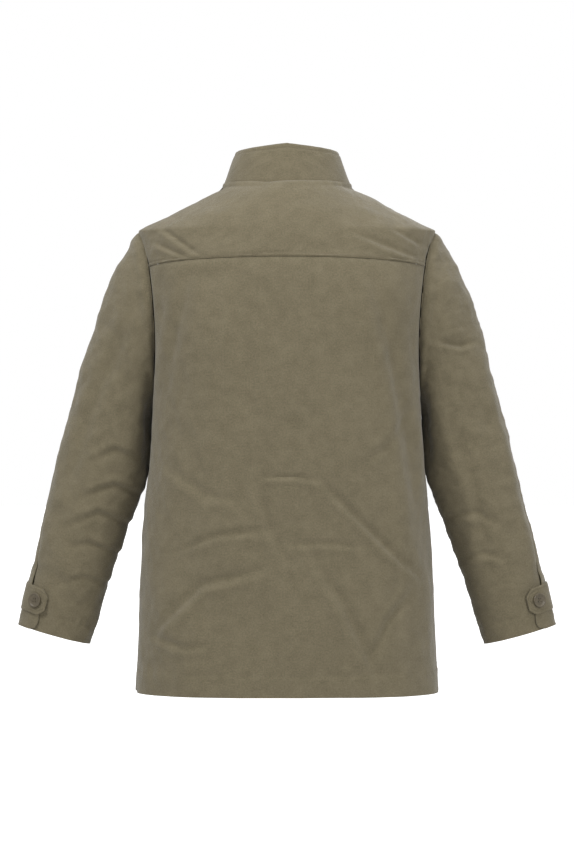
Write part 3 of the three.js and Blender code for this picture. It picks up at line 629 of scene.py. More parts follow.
back = Panel(back_surface, 170, 160, outward=-1)
for path, width, depth in DRAG_LINES:
    back.lift += FOLD * drag_line(back.points, path, width, depth)
back.lift += 2.2 * MM * waves(back.points * [1, 1, 0.5], 11, 0.16, 0.06)
back.lift += 0.5 * MM * waves(back.points, 12, 0.04, 0.014)
back.lift *= smooth(np.minimum.reduce([back.top, back.left, back.right]), 0, 0.03)
edge_back = np.minimum.reduce([back.left, back.right, back.top])
back.lift += seam_roll(edge_back)
back.lift += stitch_groove(back.bottom, HEM_STITCH, back.points, 13)
back.lift += 0.5 * MM * (1 - smooth(back.bottom, HEM_STITCH - 1 * MM, HEM_STITCH + 1 * MM))
cloth("cloth_back_panel", back, shell_cloth, "shell_cloth", ["back_panel"])
stitch_row("stitches_back_hem", back, back.bottom, HEM_STITCH)

# %% [markdown]
# ## Yoke
# The yoke carries the jacket on the shoulders. It lies flat over the back, with small slanting creases
# towards the sleeves, and its lower edge is topstitched on the back panel.

# %% Back yoke
NECK_SHARE = 0.42


def yoke_surface(u, v):
    across = 2 * u - 1
    size = np.abs(across)
    seam = mix(YOKE_DROP, YOKE_END_DROP, size * size)
    end_angle = armhole_angle(np.array(YOKE_END_DROP), ARMHOLE_BACK)
    angle, neck_drop = neck_seam(np.minimum(size / NECK_SHARE, 1) / 2)
    past = np.clip((size - NECK_SHARE) / (1 - NECK_SHARE), 0, 1)
    drop = mix(seam, mix(neck_drop, SHOULDER_DROP, past), v)
    free = mix(end_angle * size, angle, v)
    limit = armhole_angle(mix(YOKE_END_DROP, SHOULDER_DROP, v), ARMHOLE_BACK)
    share = limit / mix(end_angle, QUARTER, v)
    return form(np.sign(across) * free * mix(1, share, size * size), drop)


SHOULDER_CREASES = [
    ([(0.190, -0.070), (0.128, -0.116)], 0.007, 1.5 * MM),
    ([(0.200, -0.092), (0.150, -0.118)], 0.006, 1.2 * MM),
    ([(-0.093, -0.079), (-0.150, -0.100), (-0.204, -0.122)], 0.008, 1.8 * MM),
    ([(-0.150, -0.070), (-0.205, -0.098)], 0.007, 1.4 * MM),
]
yoke = Panel(yoke_surface, 200, 60, outward=-1)
for path, width, depth in SHOULDER_CREASES:
    yoke.lift += FOLD * drag_line(yoke.points, path, width, depth)
yoke.lift += 1.2 * MM * waves(yoke.points, 21, 0.12, 0.04)
yoke.lift += 0.3 * MM * waves(yoke.points, 22, 0.03, 0.012)
yoke.lift *= smooth(yoke.bottom, 0, 0.02)
yoke.lift += seam_roll(np.minimum.reduce([yoke.left, yoke.right, yoke.top]))
yoke.lift += 0.8 * MM - 1.5 * MM * near(yoke.bottom, 1.1 * MM)
yoke.lift += stitch_groove(yoke.bottom, 6 * MM, yoke.points, 23, 0.35 * MM)
cloth("cloth_back_yoke", yoke, shell_cloth, "shell_cloth", ["back_yoke"], held="laid",
      rests_on="yoke_lining")
stitch_row("stitches_yoke", yoke, yoke.bottom, 6 * MM)

# %% [markdown]
# ## Fronts
# Each front runs from the zip to the side seam and up to the shoulder. The edge at the zip is turned
# back and topstitched, which keeps it stiff and straight.

# %% Left and right front
ZIP_HALF_GAP = 3.8 * MM
FRONT_NECK_SHARE = 0.78


def front_surface(u, v):
    turn = np.clip((v - FRONT_NECK_SHARE) / (1 - FRONT_NECK_SHARE), 0, 1)
    neck_angle, neck_drop = neck_seam(1 - turn / 2)
    below = mix(LENGTH, NECK_FRONT_DROP, v / FRONT_NECK_SHARE)
    inner_drop = np.where(v < FRONT_NECK_SHARE, below, neck_drop)
    edge = front_angle_at(ZIP_HALF_GAP, inner_drop)
    inner = np.minimum(np.where(turn > 0, neck_angle, math.pi), edge)
    outer_drop = side_drop(v, SHOULDER_DROP)
    outer = armhole_angle(outer_drop, -ARMHOLE_FRONT)
    return form(mix(inner, outer, u), mix(inner_drop, outer_drop, u))


SIDES = [("left", 1), ("right", -1)]
FRONT_LINES = [
    ([(0.185, -0.250), (0.150, -0.330), (0.140, -0.420)], 0.013, 2.6 * MM),
    ([(0.150, -0.120), (0.110, -0.190), (0.090, -0.240)], 0.016, 1.8 * MM),
    ([(0.030, -0.430), (0.090, -0.455), (0.180, -0.440)], 0.010, 2.0 * MM),
    ([(0.200, -0.600), (0.180, -0.690), (0.150, -0.740)], 0.012, 2.2 * MM),
]
for side, sign in SIDES:
    front = Panel(front_surface, 90, 190, sign=sign)
    for number, (path, width, depth) in enumerate(FRONT_LINES):
        shift = 0.012 * math.sin(3 * number + sign)
        moved = [(sign * x, z + shift) for x, z in path]
        front.lift += drag_line(front.points, moved, width, depth * (1 - 0.15 * sign))
    front.lift += 1.2 * MM * waves(front.points, 31 + sign, 0.15, 0.05) * smooth(front.left, 0, 0.05)
    front.lift += 0.3 * MM * waves(front.points, 33 + sign, 0.035, 0.014)
    front.lift *= smooth(np.minimum(front.right, front.top), 0, 0.03)
    for p in POCKETS.values():
        front.lift *= 1 - near(-front.points[..., 2] - p["top"] + MOUTH_OVERLAP, 22 * MM)
    front.lift += seam_roll(np.minimum(front.right, front.top))
    front.lift += stitch_groove(front.bottom, HEM_STITCH, front.points, 35 + sign)
    front.lift += stitch_groove(front.left, 7 * MM, front.points, 37 + sign, 0.3 * MM)
    cloth(f"cloth_{side}_front", front, shell_cloth, "shell_cloth", [f"{side}_front"])
    stitch_row(f"stitches_{side}_front_hem", front, front.bottom, HEM_STITCH)
    stitch_row(f"stitches_{side}_front_edge", front, front.left, 7 * MM)

# %% [markdown]
# ## Collar
# A stand collar of two thicknesses: the outer one in two halves with a seam at the centre back, and
# the inner one in one piece. It is stiffened, so it stands by itself and only leans in.

# %% Collar
COLLAR_LIFT = -4 * MM


def collar_surface(u, v, inset=0.0):
    share = mix(0.0, 0.985, u)
    angle, drop = neck_seam(share)
    base = form(angle, drop)
    reach = np.linalg.norm(base[..., :2], axis=-1)
    scale = (reach * mix(1, COLLAR_TAPER, v) - inset) / reach
    rise = mix(COLLAR_LIFT, COLLAR_HEIGHT, v)
    dip = 8 * MM * v * np.sin(share * math.pi)
    return np.stack([base[..., 0] * scale, base[..., 1] * scale, base[..., 2] + rise - dip], -1)


for side, sign in SIDES:
    collar = Panel(collar_surface, 130, 28, sign=sign, outward=-1)
    collar.lift += 0.8 * MM * waves(collar.points, 41 + sign, 0.10, 0.035) * smooth(collar.left, 0, 0.04)
    collar.lift += seam_roll(collar.bottom, 1.0 * MM)
    collar.lift += seam_roll(collar.top, 1.2 * MM, 2 * MM)
    collar.lift += stitch_groove(collar.top, 6 * MM, collar.points, 43 + sign, 0.3 * MM)
    cloth(f"cloth_{side}_collar", collar, shell_cloth, "shell_cloth", [f"{side}_collar"],
          thickness=1.6 * MM, held="stretched")
    stitch_row(f"stitches_{side}_collar", collar, collar.top, 6 * MM)


def inner_collar_surface(u, v):
    across = 2 * u - 1
    points = collar_surface(np.abs(across) * 0.99, v, 2.4 * MM)
    points[..., 0] *= np.where(across < 0, -1, 1)
    return points


inner_collar = Panel(inner_collar_surface, 200, 20, outward=-1)
inner_collar.lift += 0.5 * MM * waves(inner_collar.points, 45, 0.08, 0.03)
cloth("cloth_inner_collar", inner_collar, shell_cloth, "shell_cloth", ["collar_lining"], held="stretched")

# %% [markdown]
# ## Sleeves
# Each sleeve is cut in two: the top sleeve covers the front and outside of the arm, and the under
# sleeve its back and inside. The back seam between them runs down the outside and drifts to the back
# of the wrist, where it ends in an overlapped vent. The cloth breaks into short creases at the elbow.

# %% Edges of the sleeve as smooth curves
def through(points):
    """Smooth curve through points, as a function of a share from 0 to 1."""
    p = np.array(points, float)
    p = np.vstack([2 * p[0] - p[1], p, 2 * p[-1] - p[-2]])

    def curve(share):
        x = np.asarray(share, float) * (len(p) - 3)
        i = np.clip(np.floor(x).astype(int), 0, len(p) - 4)
        t = (x - i)[..., None]
        a, b, c, d = p[i], p[i + 1], p[i + 2], p[i + 3]
        before, here, after = (np.sqrt(np.linalg.norm(q - r, axis=-1, keepdims=True))
                               for q, r in ((b, a), (c, b), (d, c)))
        start = ((b - a) / before - (c - a) / (before + here) + (c - b) / here) * here
        end = ((c - b) / here - (d - b) / (here + after) + (d - c) / after) * here
        return (b + start * t + (3 * (c - b) - 2 * start - end) * t**2
                + (2 * (b - c) + start + end) * t**3)

    return curve


CUFF_LEAN = math.radians(15.3)
CUFF_CENTRE = np.array([0.356, 0, -0.685])
CUFF_HALF_WIDTH = 57 * MM
CUFF_HALF_DEPTH = 40 * MM
SLEEVE_HALF_DEPTH = 70 * MM
SLEEVE_FORWARD = 22 * MM
cuff_across = np.array([math.cos(CUFF_LEAN), 0, math.sin(CUFF_LEAN)])
cuff_outer = CUFF_CENTRE + cuff_across * CUFF_HALF_WIDTH
cuff_inner = CUFF_CENTRE - cuff_across * CUFF_HALF_WIDTH
outer_edge = through([
    (SHOULDER_HALF_WIDTH, 0, -SHOULDER_DROP),
    (SHOULDER_HALF_WIDTH + 29 * MM, 0, -SHOULDER_DROP - 42 * MM),
    (SHOULDER_HALF_WIDTH + 59 * MM, 0, -SHOULDER_DROP - 115 * MM),
    (SHOULDER_HALF_WIDTH + 103 * MM, 0, -SHOULDER_DROP - 261 * MM),
    cuff_outer + [-35 * MM, 0, 144 * MM],
    cuff_outer,
])


def beside_body(below):
    drop = ARMPIT_DROP + below
    return (float(half_width(np.array(drop))), 0, -drop)


inner_edge = through([
    (CHEST_HALF_WIDTH, 0, -ARMPIT_DROP), beside_body(50 * MM), beside_body(125 * MM),
    cuff_inner + [-48 * MM, 0, 147 * MM], cuff_inner,
])


def armhole_point(turn):
    drop = ARMHOLE_MIDDLE - ARMHOLE_HALF_HEIGHT * np.cos(turn)
    y = np.where(np.sin(turn) >= 0, ARMHOLE_BACK, ARMHOLE_FRONT) * np.sin(turn)
    n = squareness(drop)
    x = half_width(drop) * (1 - (np.abs(y) / depth_at(drop, y >= 0)) ** n) ** (1 / n)
    return np.stack([x, y, -drop], -1)


def sleeve_point(turn, along):
    outer, inner = outer_edge(along), inner_edge(along)
    ring = (outer + inner) / 2 + (outer - inner) / 2 * np.cos(turn)[..., None]
    fullness = mix(SLEEVE_HALF_DEPTH, CUFF_HALF_DEPTH, along**0.7)
    ring[..., 1] = -SLEEVE_FORWARD * along**2 + fullness * np.sin(turn)
    return mix(armhole_point(turn), ring, smooth(along, 0, 0.3)[..., None])


# %% Sleeve panels
FRONT_SEAM = math.radians(-140)
VENT_OVERLAP = math.radians(21)
VENT_TOP = 60 * MM
cuff_length = float(np.linalg.norm(outer_edge(0.9) - outer_edge(1.0))) / 0.1
CUFF_STITCH = 28 * MM
VENT_LENGTH = 105 * MM
SLEEVE_LINES = {
    "left": [
        ([(0.222, -0.472), (0.262, -0.458), (0.305, -0.474)], 0.008, 2.4 * MM),
        ([(0.232, -0.520), (0.285, -0.500), (0.335, -0.520)], 0.009, 2.2 * MM),
        ([(0.248, -0.565), (0.300, -0.545), (0.330, -0.550)], 0.007, 1.8 * MM),
        ([(0.218, -0.420), (0.260, -0.405), (0.300, -0.424)], 0.009, 1.8 * MM),
        ([(0.222, -0.180), (0.290, -0.330), (0.330, -0.460)], 0.016, 2.4 * MM),
        ([(0.262, -0.610), (0.310, -0.597), (0.340, -0.606)], 0.007, 1.4 * MM),
    ],
    "right": [
        ([(-0.219, -0.239), (-0.262, -0.247), (-0.285, -0.240)], 0.007, 2.4 * MM),
        ([(-0.300, -0.240), (-0.350, -0.420), (-0.392, -0.600)], 0.014, 2.6 * MM),
        ([(-0.235, -0.510), (-0.280, -0.498), (-0.318, -0.512)], 0.009, 2.0 * MM),
        ([(-0.240, -0.330), (-0.285, -0.470), (-0.310, -0.600)], 0.016, 2.2 * MM),
        ([(-0.252, -0.575), (-0.296, -0.560), (-0.330, -0.568)], 0.008, 1.5 * MM),
    ],
}


def back_seam(along):
    return math.radians(-10) + math.radians(56) * along**3


def vent_edge(along):
    """The top sleeve's back edge: past the seam where it overlaps, with a rounded lower corner."""
    above = (1 - along) * cuff_length
    corner = 1 - np.sqrt(np.clip(1 - (1 - np.clip(above / (20 * MM), 0, 1)) ** 2, 0, 1))
    overlap = VENT_OVERLAP * (1 - smooth(above, VENT_TOP - 8 * MM, VENT_TOP))
    return back_seam(along) + overlap * (1 - 0.8 * corner)


def sleeve_surface(start, end, low=1.0, high=0.0):
    def surface(u, v):
        along = mix(low, high, v)
        return sleeve_point(mix(start(along), end(along), u), along)

    return surface


SLEEVE_CUT = {
    "top": (lambda along: FRONT_SEAM, vent_edge),
    "under": (back_seam, lambda along: FRONT_SEAM + math.tau),
}


for side, sign in SIDES:
    for kind, (start, end) in SLEEVE_CUT.items():
        sleeve = Panel(sleeve_surface(start, end), 120, 190, sign=sign)
        for path, width, depth in SLEEVE_LINES[side]:
            sleeve.lift += FOLD * drag_line(sleeve.points, path, width, depth)
        seed = 60 + sign
        away = smooth(sleeve.top, 0, 0.03) * smooth(sleeve.bottom, 0, 0.06)
        sleeve.lift += 1.2 * MM * waves(sleeve.points * [1, 1, 1.2], seed, 0.12, 0.04) * away
        sleeve.lift += 0.45 * MM * waves(sleeve.points, seed + 10, 0.03, 0.012)
        sleeve.lift += 2.2 * MM * near(sleeve.top - 14 * MM, 11 * MM)
        sleeve.lift += seam_roll(sleeve.top, 1.2 * MM, 2.5 * MM)
        vent = 1 - smooth(sleeve.bottom, VENT_LENGTH - 12 * MM, VENT_LENGTH)
        back_edge = sleeve.right if kind == "top" else sleeve.left
        front_edge = sleeve.left if kind == "top" else sleeve.right
        sleeve.lift += seam_roll(front_edge, 0.9 * MM) + seam_roll(back_edge, 0.8 * MM) * (1 - vent)
        if kind == "top":
            sleeve.lift += 0.9 * MM * vent * near(back_edge, 14 * MM)
        else:
            sleeve.lift -= 2.6 * MM * vent * near(back_edge, 34 * MM)
            turn = mix(back_seam(1 - sleeve.v), FRONT_SEAM + math.tau, sleeve.u)
            beside = smooth(sleeve.v, 0.42, 0.56) * (1 - smooth(sleeve.v, 0.72, 0.86))
            sleeve.lift -= 8 * MM * near(turn - math.radians(158), math.radians(22)) * beside
        sleeve.lift += stitch_groove(sleeve.bottom, CUFF_STITCH, sleeve.points, seed + 20, 0.5 * MM)
        cloth(f"cloth_{side}_{kind}_sleeve", sleeve, shell_cloth, "shell_cloth",
              [f"{side}_{kind}_sleeve"])
        stitch_row(f"stitches_{side}_{kind}_cuff", sleeve, sleeve.bottom, CUFF_STITCH)
    round_arm = (lambda along: 0.0, lambda along: math.tau)
    tube = Panel(sleeve_surface(*round_arm, 0.972, 0.12), 90, 60, sign=sign)
    tube.lift += -9.5 * MM + 0.8 * MM * waves(tube.points, 66 + sign, 0.09, 0.03)
    cloth(f"cloth_{side}_sleeve_lining", tube, lining_cloth, "lining", [f"{side}_sleeve_lining"],
          thickness=0.5 * MM, around=True, rests_on=f"{side}_top_sleeve")

# %% [markdown]
# ## Buttons
# The buttons are turned from one disc: a raised rim, a dished face and four holes for the thread.
# One is modelled at the origin, and each of the six is a copy placed on its frame button.

# %% Four-hole button
BUTTON_RADIUS = 11 * MM
BUTTON_THICKNESS = 3 * MM
STUD_HEIGHT = 2.6 * MM
bpy.ops.object.select_all(action="DESELECT")
bpy.ops.mesh.primitive_cylinder_add(vertices=64, radius=BUTTON_RADIUS, depth=BUTTON_THICKNESS)
button = bpy.context.object
bpy.ops.object.mode_set(mode="EDIT")
shape = bmesh.from_edit_mesh(button.data)
for face in shape.faces:
    face.select_set(face.normal.z > 0.9)
bmesh.update_edit_mesh(button.data)
bpy.ops.mesh.inset(thickness=2.2 * MM)
bpy.ops.mesh.inset(thickness=1.2 * MM)
bpy.ops.transform.translate(value=(0, 0, -1.1 * MM))
bpy.ops.object.mode_set(mode="OBJECT")
rim = button.modifiers.new("rim", "BEVEL")
rim.width = 0.7 * MM
rim.segments = 3
rim.limit_method = "ANGLE"
bpy.ops.object.modifier_apply(modifier=rim.name)
HOLE_OFFSET = 2.1 * MM
for x, y in ((1, 1), (1, -1), (-1, 1), (-1, -1)):
    bpy.ops.object.select_all(action="DESELECT")
    bpy.ops.mesh.primitive_cylinder_add(vertices=20, radius=0.95 * MM, depth=12 * MM,
                                        location=(x * HOLE_OFFSET, y * HOLE_OFFSET, 0))
    drill = bpy.context.object
    hole = button.modifiers.new("hole", "BOOLEAN")
    hole.object = drill
    hole.operation = "DIFFERENCE"
    bpy.context.view_layer.objects.active = button
    bpy.ops.object.modifier_apply(modifier=hole.name)
    bpy.data.objects.remove(drill)
print("button", len(button.data.polygons), "faces")


# %% Horn finish and the buttons' thread
def button_material():
    material = bpy.data.materials.new("horn_button")
    material.use_nodes = True
    tree = material.node_tree
    shader = tree.nodes["Principled BSDF"]
    place = tree.nodes.new("ShaderNodeTexCoord").outputs["Object"]
    streak = noise_node(tree, place, 210.0, 6.0, 0.6)
    ramp = tree.nodes.new("ShaderNodeValToRGB")
    ramp.color_ramp.elements[0].color = (0.050, 0.040, 0.024, 1)
    ramp.color_ramp.elements[1].color = (0.135, 0.110, 0.068, 1)
    tree.links.new(streak, ramp.inputs["Fac"])
    tree.links.new(ramp.outputs["Color"], shader.inputs["Base Color"])
    bump = tree.nodes.new("ShaderNodeBump")
    bump.inputs["Distance"].default_value = 0.0001
    tree.links.new(noise_node(tree, place, 1500.0), bump.inputs["Height"])
    tree.links.new(bump.outputs["Normal"], shader.inputs["Normal"])
    shader.inputs["Roughness"].default_value = 0.42
    shader.inputs["Coat Weight"].default_value = 0.15
    return material


horn = button_material()


def principal_axis(node):
    """Points of a frame button, and the direction in which it is thinnest."""
    co = np.array([v.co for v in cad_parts[node].data.vertices])
    spread = np.linalg.eigh(np.cov((co - co.mean(0)).T))
    axis = spread[1][:, 0]
    return co, axis


def fit_button(node, outward, body="jacket"):
    co, axis = principal_axis(node)
    axis = axis * (1 if axis @ np.array(outward) > 0 else -1)
    height = co @ axis
    wide = co[height > height.max() - BUTTON_THICKNESS - 0.2 * MM]
    centre = (wide.min(0) + wide.max(0)) / 2
    centre += axis * (height.max() - BUTTON_THICKNESS / 2 - centre @ axis)
    turn = Vector(axis).to_track_quat("Z", "Y").to_matrix().to_4x4()
    place = Matrix.Translation(Vector(centre)) @ turn
    piece = bpy.data.objects.new("horn_" + node, button.data.copy())
    scene.collection.objects.link(piece)
    piece.data.transform(place)
    piece.data.materials.clear()
    piece.data.materials.append(horn)
    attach(piece, body)
    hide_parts(node)
    o = HOLE_OFFSET
    dish = BUTTON_THICKNESS / 2 - 0.7 * MM
    for k, (a, b) in enumerate((((-o, -o), (o, o)), ((-o, o), (o, -o)))):
        steps = np.linspace(0, 1, 12)
        local = [Vector((mix(a[0], b[0], t), mix(a[1], b[1], t), dish + (0.3 + 0.3 * k) * MM)) for t in steps]
        line = [place @ p for p in local]
        stitches(f"thread_{node}_{k}", line, [axis] * len(line), body, gap=-0.3)
    shank = [Vector(centre) - Vector(axis) * (BUTTON_THICKNESS / 2 + t * STUD_HEIGHT) for t in (0, 1.5)]
    bpy.ops.object.select_all(action="DESELECT")
    bpy.ops.mesh.primitive_cylinder_add(vertices=16, radius=1.9 * MM, depth=(shank[0] - shank[1]).length)
    stem = bpy.context.object
    stem.name = "shank_" + node
    stem.data.transform(Matrix.Translation((shank[0] + shank[1]) / 2) @ turn)
    stem.location = (0, 0, 0)
    stem.data.materials.append(thread)
    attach(stem, body)
    return Vector(centre), Vector(axis)


button_at = {}
for side, sign in SIDES:
    button_at[side, "cuff"] = fit_button(f"{side}_cuff_button", (sign, 0.9, 0))
    for kind in ("chest", "hip"):
        button_at[side, kind] = fit_button(f"{side}_{kind}_button", (0, -1, 0))
bpy.data.objects.remove(button)

# %% [markdown]
# ## Cuff tabs
# A tab is a strap of two layers, turned right side out, so its edge is thick and its seam is topped
# with a row of stitches. Its sewn end turns on the tab's own frame body, and the buttonhole is a slit
# with a corded edge. The slit is cut through the finished strap.

# %% Buttonholes
def buttonhole(piece, where, direction, length, surface_below, body):
    """Slit through a piece along direction, centred under the button, with a corded edge."""
    centre, axis = where
    along = Vector(direction)
    along = (along - axis * along.dot(axis)).normalized()
    across = axis.cross(along)
    turn = Matrix((across, along, axis)).transposed().to_4x4()
    bpy.ops.object.select_all(action="DESELECT")
    bpy.ops.mesh.primitive_cube_add(size=1)
    knife = bpy.context.object
    knife.data.transform(Matrix.Translation(centre) @ turn @ Matrix.Diagonal((4.6 * MM, length, 14 * MM, 1)))
    slit = piece.modifiers.new("slit", "BOOLEAN")
    slit.object = knife
    slit.operation = "DIFFERENCE"
    bpy.context.view_layer.objects.active = piece
    bpy.ops.object.modifier_apply(modifier=slit.name)
    bpy.data.objects.remove(knife)
    angles = np.linspace(0, math.tau, 90)
    base = centre - axis * surface_below
    ring = [base + across * (3.1 * MM * math.sin(a)) + along * ((length / 2 + 1 * MM) * math.cos(a))
            for a in angles]
    stitches("buttonhole_" + piece.name, ring, [axis] * len(ring), body, gap=-0.25)


# %% Tab pieces
TAB_SEWN, TAB_TIP = math.radians(-6), math.radians(70)
TAB_WIDTH = 42 * MM
TAB_ABOVE_CUFF = 46 * MM


def tab_surface(u, v):
    pointed = np.clip((u - 0.84) / 0.16, 0, 1) ** 1.5
    width = TAB_WIDTH * (1 - 0.5 * pointed)
    above = TAB_ABOVE_CUFF + (v - 0.5) * width
    return sleeve_point(mix(TAB_SEWN, TAB_TIP, u), 1 - above / cuff_length)


for side, sign in SIDES:
    tab = Panel(tab_surface, 72, 44, sign=sign)
    body = f"{side}_cuff_tab"
    edge = np.minimum(np.minimum(tab.bottom, tab.top), tab.right)
    tab.lift += 2.5 * MM + 1.6 * MM * smooth(tab.u, 0.72, 1) - 1.1 * MM * near(tab.left, 9 * MM)
    tab.lift += 0.3 * MM * waves(tab.points, 90 + sign, 0.04, 0.015) * smooth(edge, 0, 6 * MM)
    tab.lift += -0.6 * MM * near(edge, 1.6 * MM) - 0.35 * MM * near(edge - 5 * MM, 1.2 * MM)
    piece = cloth(f"cloth_{side}_cuff_tab", tab, shell_cloth, "shell_cloth", [f"{side}_cuff_tab"],
                  thickness=1.2 * MM, rests_on=f"{side}_top_sleeve", body=body)
    for name, distance in (("upper", tab.top), ("lower", tab.bottom), ("tip", tab.right)):
        stitch_row(f"stitches_{side}_tab_{name}", tab, distance, 5 * MM, 0 if name == "tip" else 7, body=body)
    buttonhole(piece, button_at[side, "cuff"], cuff_across * [sign, 1, 1] + [0, -0.6, 0], 25 * MM,
               2.1 * MM, body)

# %% [markdown]
# ## Pockets and flaps
# The patch pockets stand a little off the fronts in the middle, as a pocket that has been used does.
# Each flap is sewn above its pocket's mouth, steps over it, and buttons down.

# %% Pockets, flaps and their stitches
def full(share):
    return 1 - np.abs(2 * share - 1) ** 4


def on_front(x, drop):
    return form(front_angle_at(x, drop), drop)


def pocket_surface(p):
    return lambda u, v: on_front(p["x"] + (u - 0.5) * p["width"], p["top"] + p["height"] * (1 - v))


def flap_surface(p):
    def surface(u, v):
        rise = np.clip(0.2 - v, 0, None) * 0.6 * p["flap"] * np.abs(2 * u - 1) ** 2
        drop = p["top"] - MOUTH_OVERLAP + p["flap"] * (1 - v) - rise
        return on_front(p["x"] + (u - 0.5) * (p["width"] + 2 * MM), drop)

    return surface


for side, sign in SIDES:
    for kind, p in POCKETS.items():
        seed = {"chest": 100, "hip": 104}[kind] + sign
        pocket = Panel(pocket_surface(p), 64, 72, sign=sign)
        edge = np.minimum(np.minimum(pocket.left, pocket.right), pocket.bottom)
        pocket.lift += 1.2 * MM + (p["depth"] - 0.2 * MM) * full(pocket.u) * full(pocket.v / 2)
        pocket.lift += 0.7 * MM * waves(pocket.points, seed, 0.06, 0.02) * smooth(edge, 0, 14 * MM) - 0.5 * MM
        pocket.lift += stitch_groove(edge, 3 * MM, pocket.points, seed + 9, 0.2 * MM)
        pocket.lift = np.maximum(pocket.lift, 0.9 * MM)
        cloth(f"cloth_{side}_{kind}_pocket", pocket, shell_cloth, "shell_cloth",
              [f"{side}_{kind}_pocket"], rests_on=f"{side}_front")
        for name, distance in (("left", pocket.left), ("right", pocket.right), ("bottom", pocket.bottom)):
            stitch_row(f"stitches_{side}_{kind}_pocket_{name}", pocket, distance, 3 * MM)
        flap = Panel(flap_surface(p), 64, 44, sign=sign)
        body = f"{side}_{kind}_flap"
        step = np.clip((1 - flap.v) * p["flap"] / (MOUTH_OVERLAP - 2 * MM), 0, 1)
        edge = np.minimum(np.minimum(flap.left, flap.right), flap.bottom)
        flap.lift += 1.7 * MM + step * (2 * MM + p["depth"] * full(flap.u))
        flap.lift += 0.3 * MM * waves(flap.points, seed + 20, 0.05, 0.018) * smooth(edge, 0, 8 * MM)
        flap.lift += -0.5 * MM * near(edge, 1.6 * MM) - 0.3 * MM * near(edge - 5 * MM, 1.2 * MM)
        piece = cloth(f"cloth_{side}_{kind}_flap", flap, shell_cloth, "shell_cloth",
                      [f"{side}_{kind}_flap"], thickness=1.2 * MM, rests_on=f"{side}_front", body=body)
        for name, distance in (("left", flap.left), ("right", flap.right), ("tip", flap.bottom),
                               ("seam", flap.top)):
            place = 9 * MM if name == "seam" else 5 * MM
            stitch_row(f"stitches_{side}_{kind}_flap_{name}", flap, distance, place, body=body)
        buttonhole(piece, button_at[side, kind], (0, 0, 1), 24 * MM, 2.4 * MM, body)

# %% [markdown]
# ## Linings, facings, loop and label
# The lining hangs inside the shell and never touches its outside. The facings are strips of shell
# cloth that finish the front edges. The loop hangs from the neck seam, and the label is blank.

# %% Linings and facings
FACING = 62 * MM / (math.pi / 2 * CHEST_HALF_WIDTH)


def inner(name, surface, depth, seed, material=lining_cloth, kind="lining", sign=1, outward=1,
          size=(50, 70), rests_on="back_yoke", waviness=1.0):
    panel = Panel(surface, *size, sign=sign, outward=outward)
    panel.lift += -depth + waviness * MM * waves(panel.points, seed, 0.12, 0.04)
    cloth("cloth_" + name, panel, material, kind, [name], thickness=0.6 * MM, rests_on=rests_on)


def back_lining_surface(u, v):
    return back_surface(0.02 + 0.96 * u, 0.03 + 0.95 * v)


def yoke_lining_surface(u, v):
    return yoke_surface(0.06 + 0.88 * u, 0.02 + 0.88 * v)


inner("back_lining", back_lining_surface, 12 * MM, 120, outward=-1, size=(70, 80))
inner("yoke_lining", yoke_lining_surface, 10 * MM, 121, outward=-1, waviness=0.5)
for side, sign in SIDES:
    inner(f"{side}_front_lining",
          lambda u, v: front_surface(mix(FACING + 0.03, 0.95, u), 0.03 + 0.9 * v),
          11 * MM, 122 + sign, sign=sign)
    inner(f"{side}_facing", lambda u, v: front_surface(mix(0.02, FACING, u), 0.004 + 0.9 * v),
          8 * MM, 125 + sign, shell_cloth, "shell_cloth", sign=sign, size=(16, 90),
          rests_on=f"{side}_front", waviness=0.4)


# %% Hanger loop and blank label
def neck_patch(width, top, height, droop=0.0):
    def surface(u, v):
        drop = top + height * (1 - v) + droop * (1 - (2 * u - 1) ** 2)
        return form((u - 0.5) * width / half_width(drop), drop)

    return surface


inner("hanger_loop", neck_patch(58 * MM, 22 * MM, 7 * MM, 12 * MM), 12.9 * MM, 130, shell_cloth,
      "tape", outward=-1, size=(40, 6), waviness=0)
inner("neck_label", neck_patch(52 * MM, 48 * MM, 30 * MM), 12.9 * MM, 131, label_cloth, "label",
      outward=-1, size=(30, 20), rests_on="yoke_lining", waviness=0.1)

# %% [markdown]
# ## Zip
# Two tapes carry the rows of teeth, which mesh down the middle of the front. The slider, its pull,
# the stops and the box are castings: these are the frame's own solids, with rounded edges.

# %% Metal
def metal_material():
    material = bpy.data.materials.new("antique_brass")
    material.use_nodes = True
    tree = material.node_tree
    shader = tree.nodes["Principled BSDF"]
    place = tree.nodes.new("ShaderNodeTexCoord").outputs["Object"]
    ramp = tree.nodes.new("ShaderNodeValToRGB")
    ramp.color_ramp.elements[0].color = (0.10, 0.085, 0.06, 1)
    ramp.color_ramp.elements[1].color = (0.24, 0.20, 0.14, 1)
    tree.links.new(noise_node(tree, place, 260.0, 5.0, 0.6), ramp.inputs["Fac"])
    tree.links.new(ramp.outputs["Color"], shader.inputs["Base Color"])
    worn = math_node(tree, "MULTIPLY", noise_node(tree, place, 900.0), 0.5)
    tree.links.new(math_node(tree, "ADD", worn, 0.15), shader.inputs["Roughness"])
    shader.inputs["Metallic"].default_value = 1.0
    return material


brass = metal_material()

# %% Tapes and teeth
ZIP_TOP = Vector((0, -float(front_depth(np.array(88 * MM))), -88 * MM))
ZIP_BOTTOM = Vector((0, -float(front_depth(np.array(LENGTH - 6 * MM))), -LENGTH + 6 * MM))
zip_up = np.array((ZIP_TOP - ZIP_BOTTOM).normalized())
zip_out = np.cross([1, 0, 0], zip_up)
zip_length = (ZIP_TOP - ZIP_BOTTOM).length
TAPE = (0.5 * MM, 17.3 * MM)
PITCH = 3 * MM


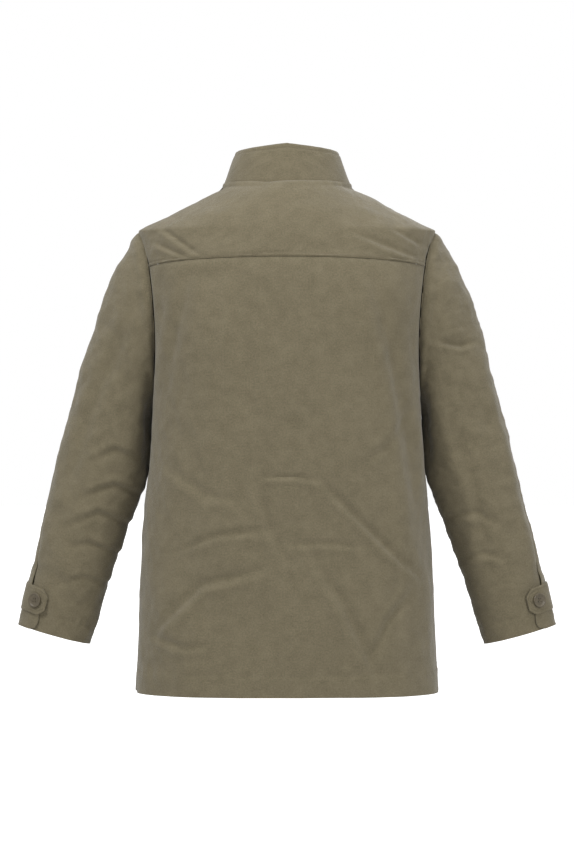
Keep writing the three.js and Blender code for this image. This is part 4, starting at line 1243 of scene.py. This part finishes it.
def on_zip(x, up, out):
    x, up = np.asarray(x, float), np.asarray(up, float)
    return np.array(ZIP_TOP) + x[..., None] * [1, 0, 0] + up[..., None] * zip_up + out * zip_out


bpy.ops.object.select_all(action="DESELECT")
bpy.ops.mesh.primitive_cube_add(size=1)
tooth = bpy.context.object
tooth.data.transform(Matrix.Diagonal((3.4 * MM, 1.35 * MM, 2.4 * MM, 1)))
soft = tooth.modifiers.new("soft", "BEVEL")
soft.width = 0.45 * MM
bpy.ops.object.modifier_apply(modifier=soft.name)
tooth_points = np.array([v.co for v in tooth.data.vertices])
tooth_faces = [list(f.vertices) for f in tooth.data.polygons]
bpy.data.objects.remove(tooth)
for side, sign in SIDES:
    tape = Panel(lambda u, v: on_zip(mix(*TAPE, u), -zip_length * (1 - v), -4.3 * MM), 8, 160, sign=sign)
    cloth(f"cloth_{side}_zip_tape", tape, tape_cloth, "tape", [f"{side}_zip_tape"],
          thickness=0.6 * MM, rests_on=f"{side}_facing")
    first = 6 * MM + (PITCH / 2 if sign > 0 else 0)
    rows = np.arange(first, zip_length - 13 * MM, PITCH)
    centres = on_zip(np.full(len(rows), sign * 1.1 * MM), -rows, -3 * MM)
    frame_axes = np.array([[1, 0, 0], zip_up, zip_out])
    points = centres[:, None] + (tooth_points @ frame_axes)[None]
    mesh = bpy.data.meshes.new(f"teeth_{side}")
    count = len(tooth_points)
    mesh.from_pydata(points.reshape(-1, 3).tolist(), [],
                     [[i + k * count for i in f] for k in range(len(rows)) for f in tooth_faces])
    mesh.materials.append(brass)
    piece = bpy.data.objects.new(f"teeth_{side}", mesh)
    scene.collection.objects.link(piece)
    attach(piece, "jacket")
    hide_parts(f"{side}_zip_teeth")
    print(piece.name, len(rows), "teeth")

# %% Castings
for node in ("zip_box", "left_zip_stop", "right_zip_stop", "zip_slider", "zip_pull"):
    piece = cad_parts[node]
    piece.data.materials.clear()
    piece.data.materials.append(brass)
    weld = piece.modifiers.new("weld", "WELD")
    weld.merge_threshold = 1e-5
    edge = piece.modifiers.new("edge", "BEVEL")
    edge.width = 0.35 * MM
    edge.segments = 2
    edge.limit_method = "ANGLE"
    print(node, "rounded")
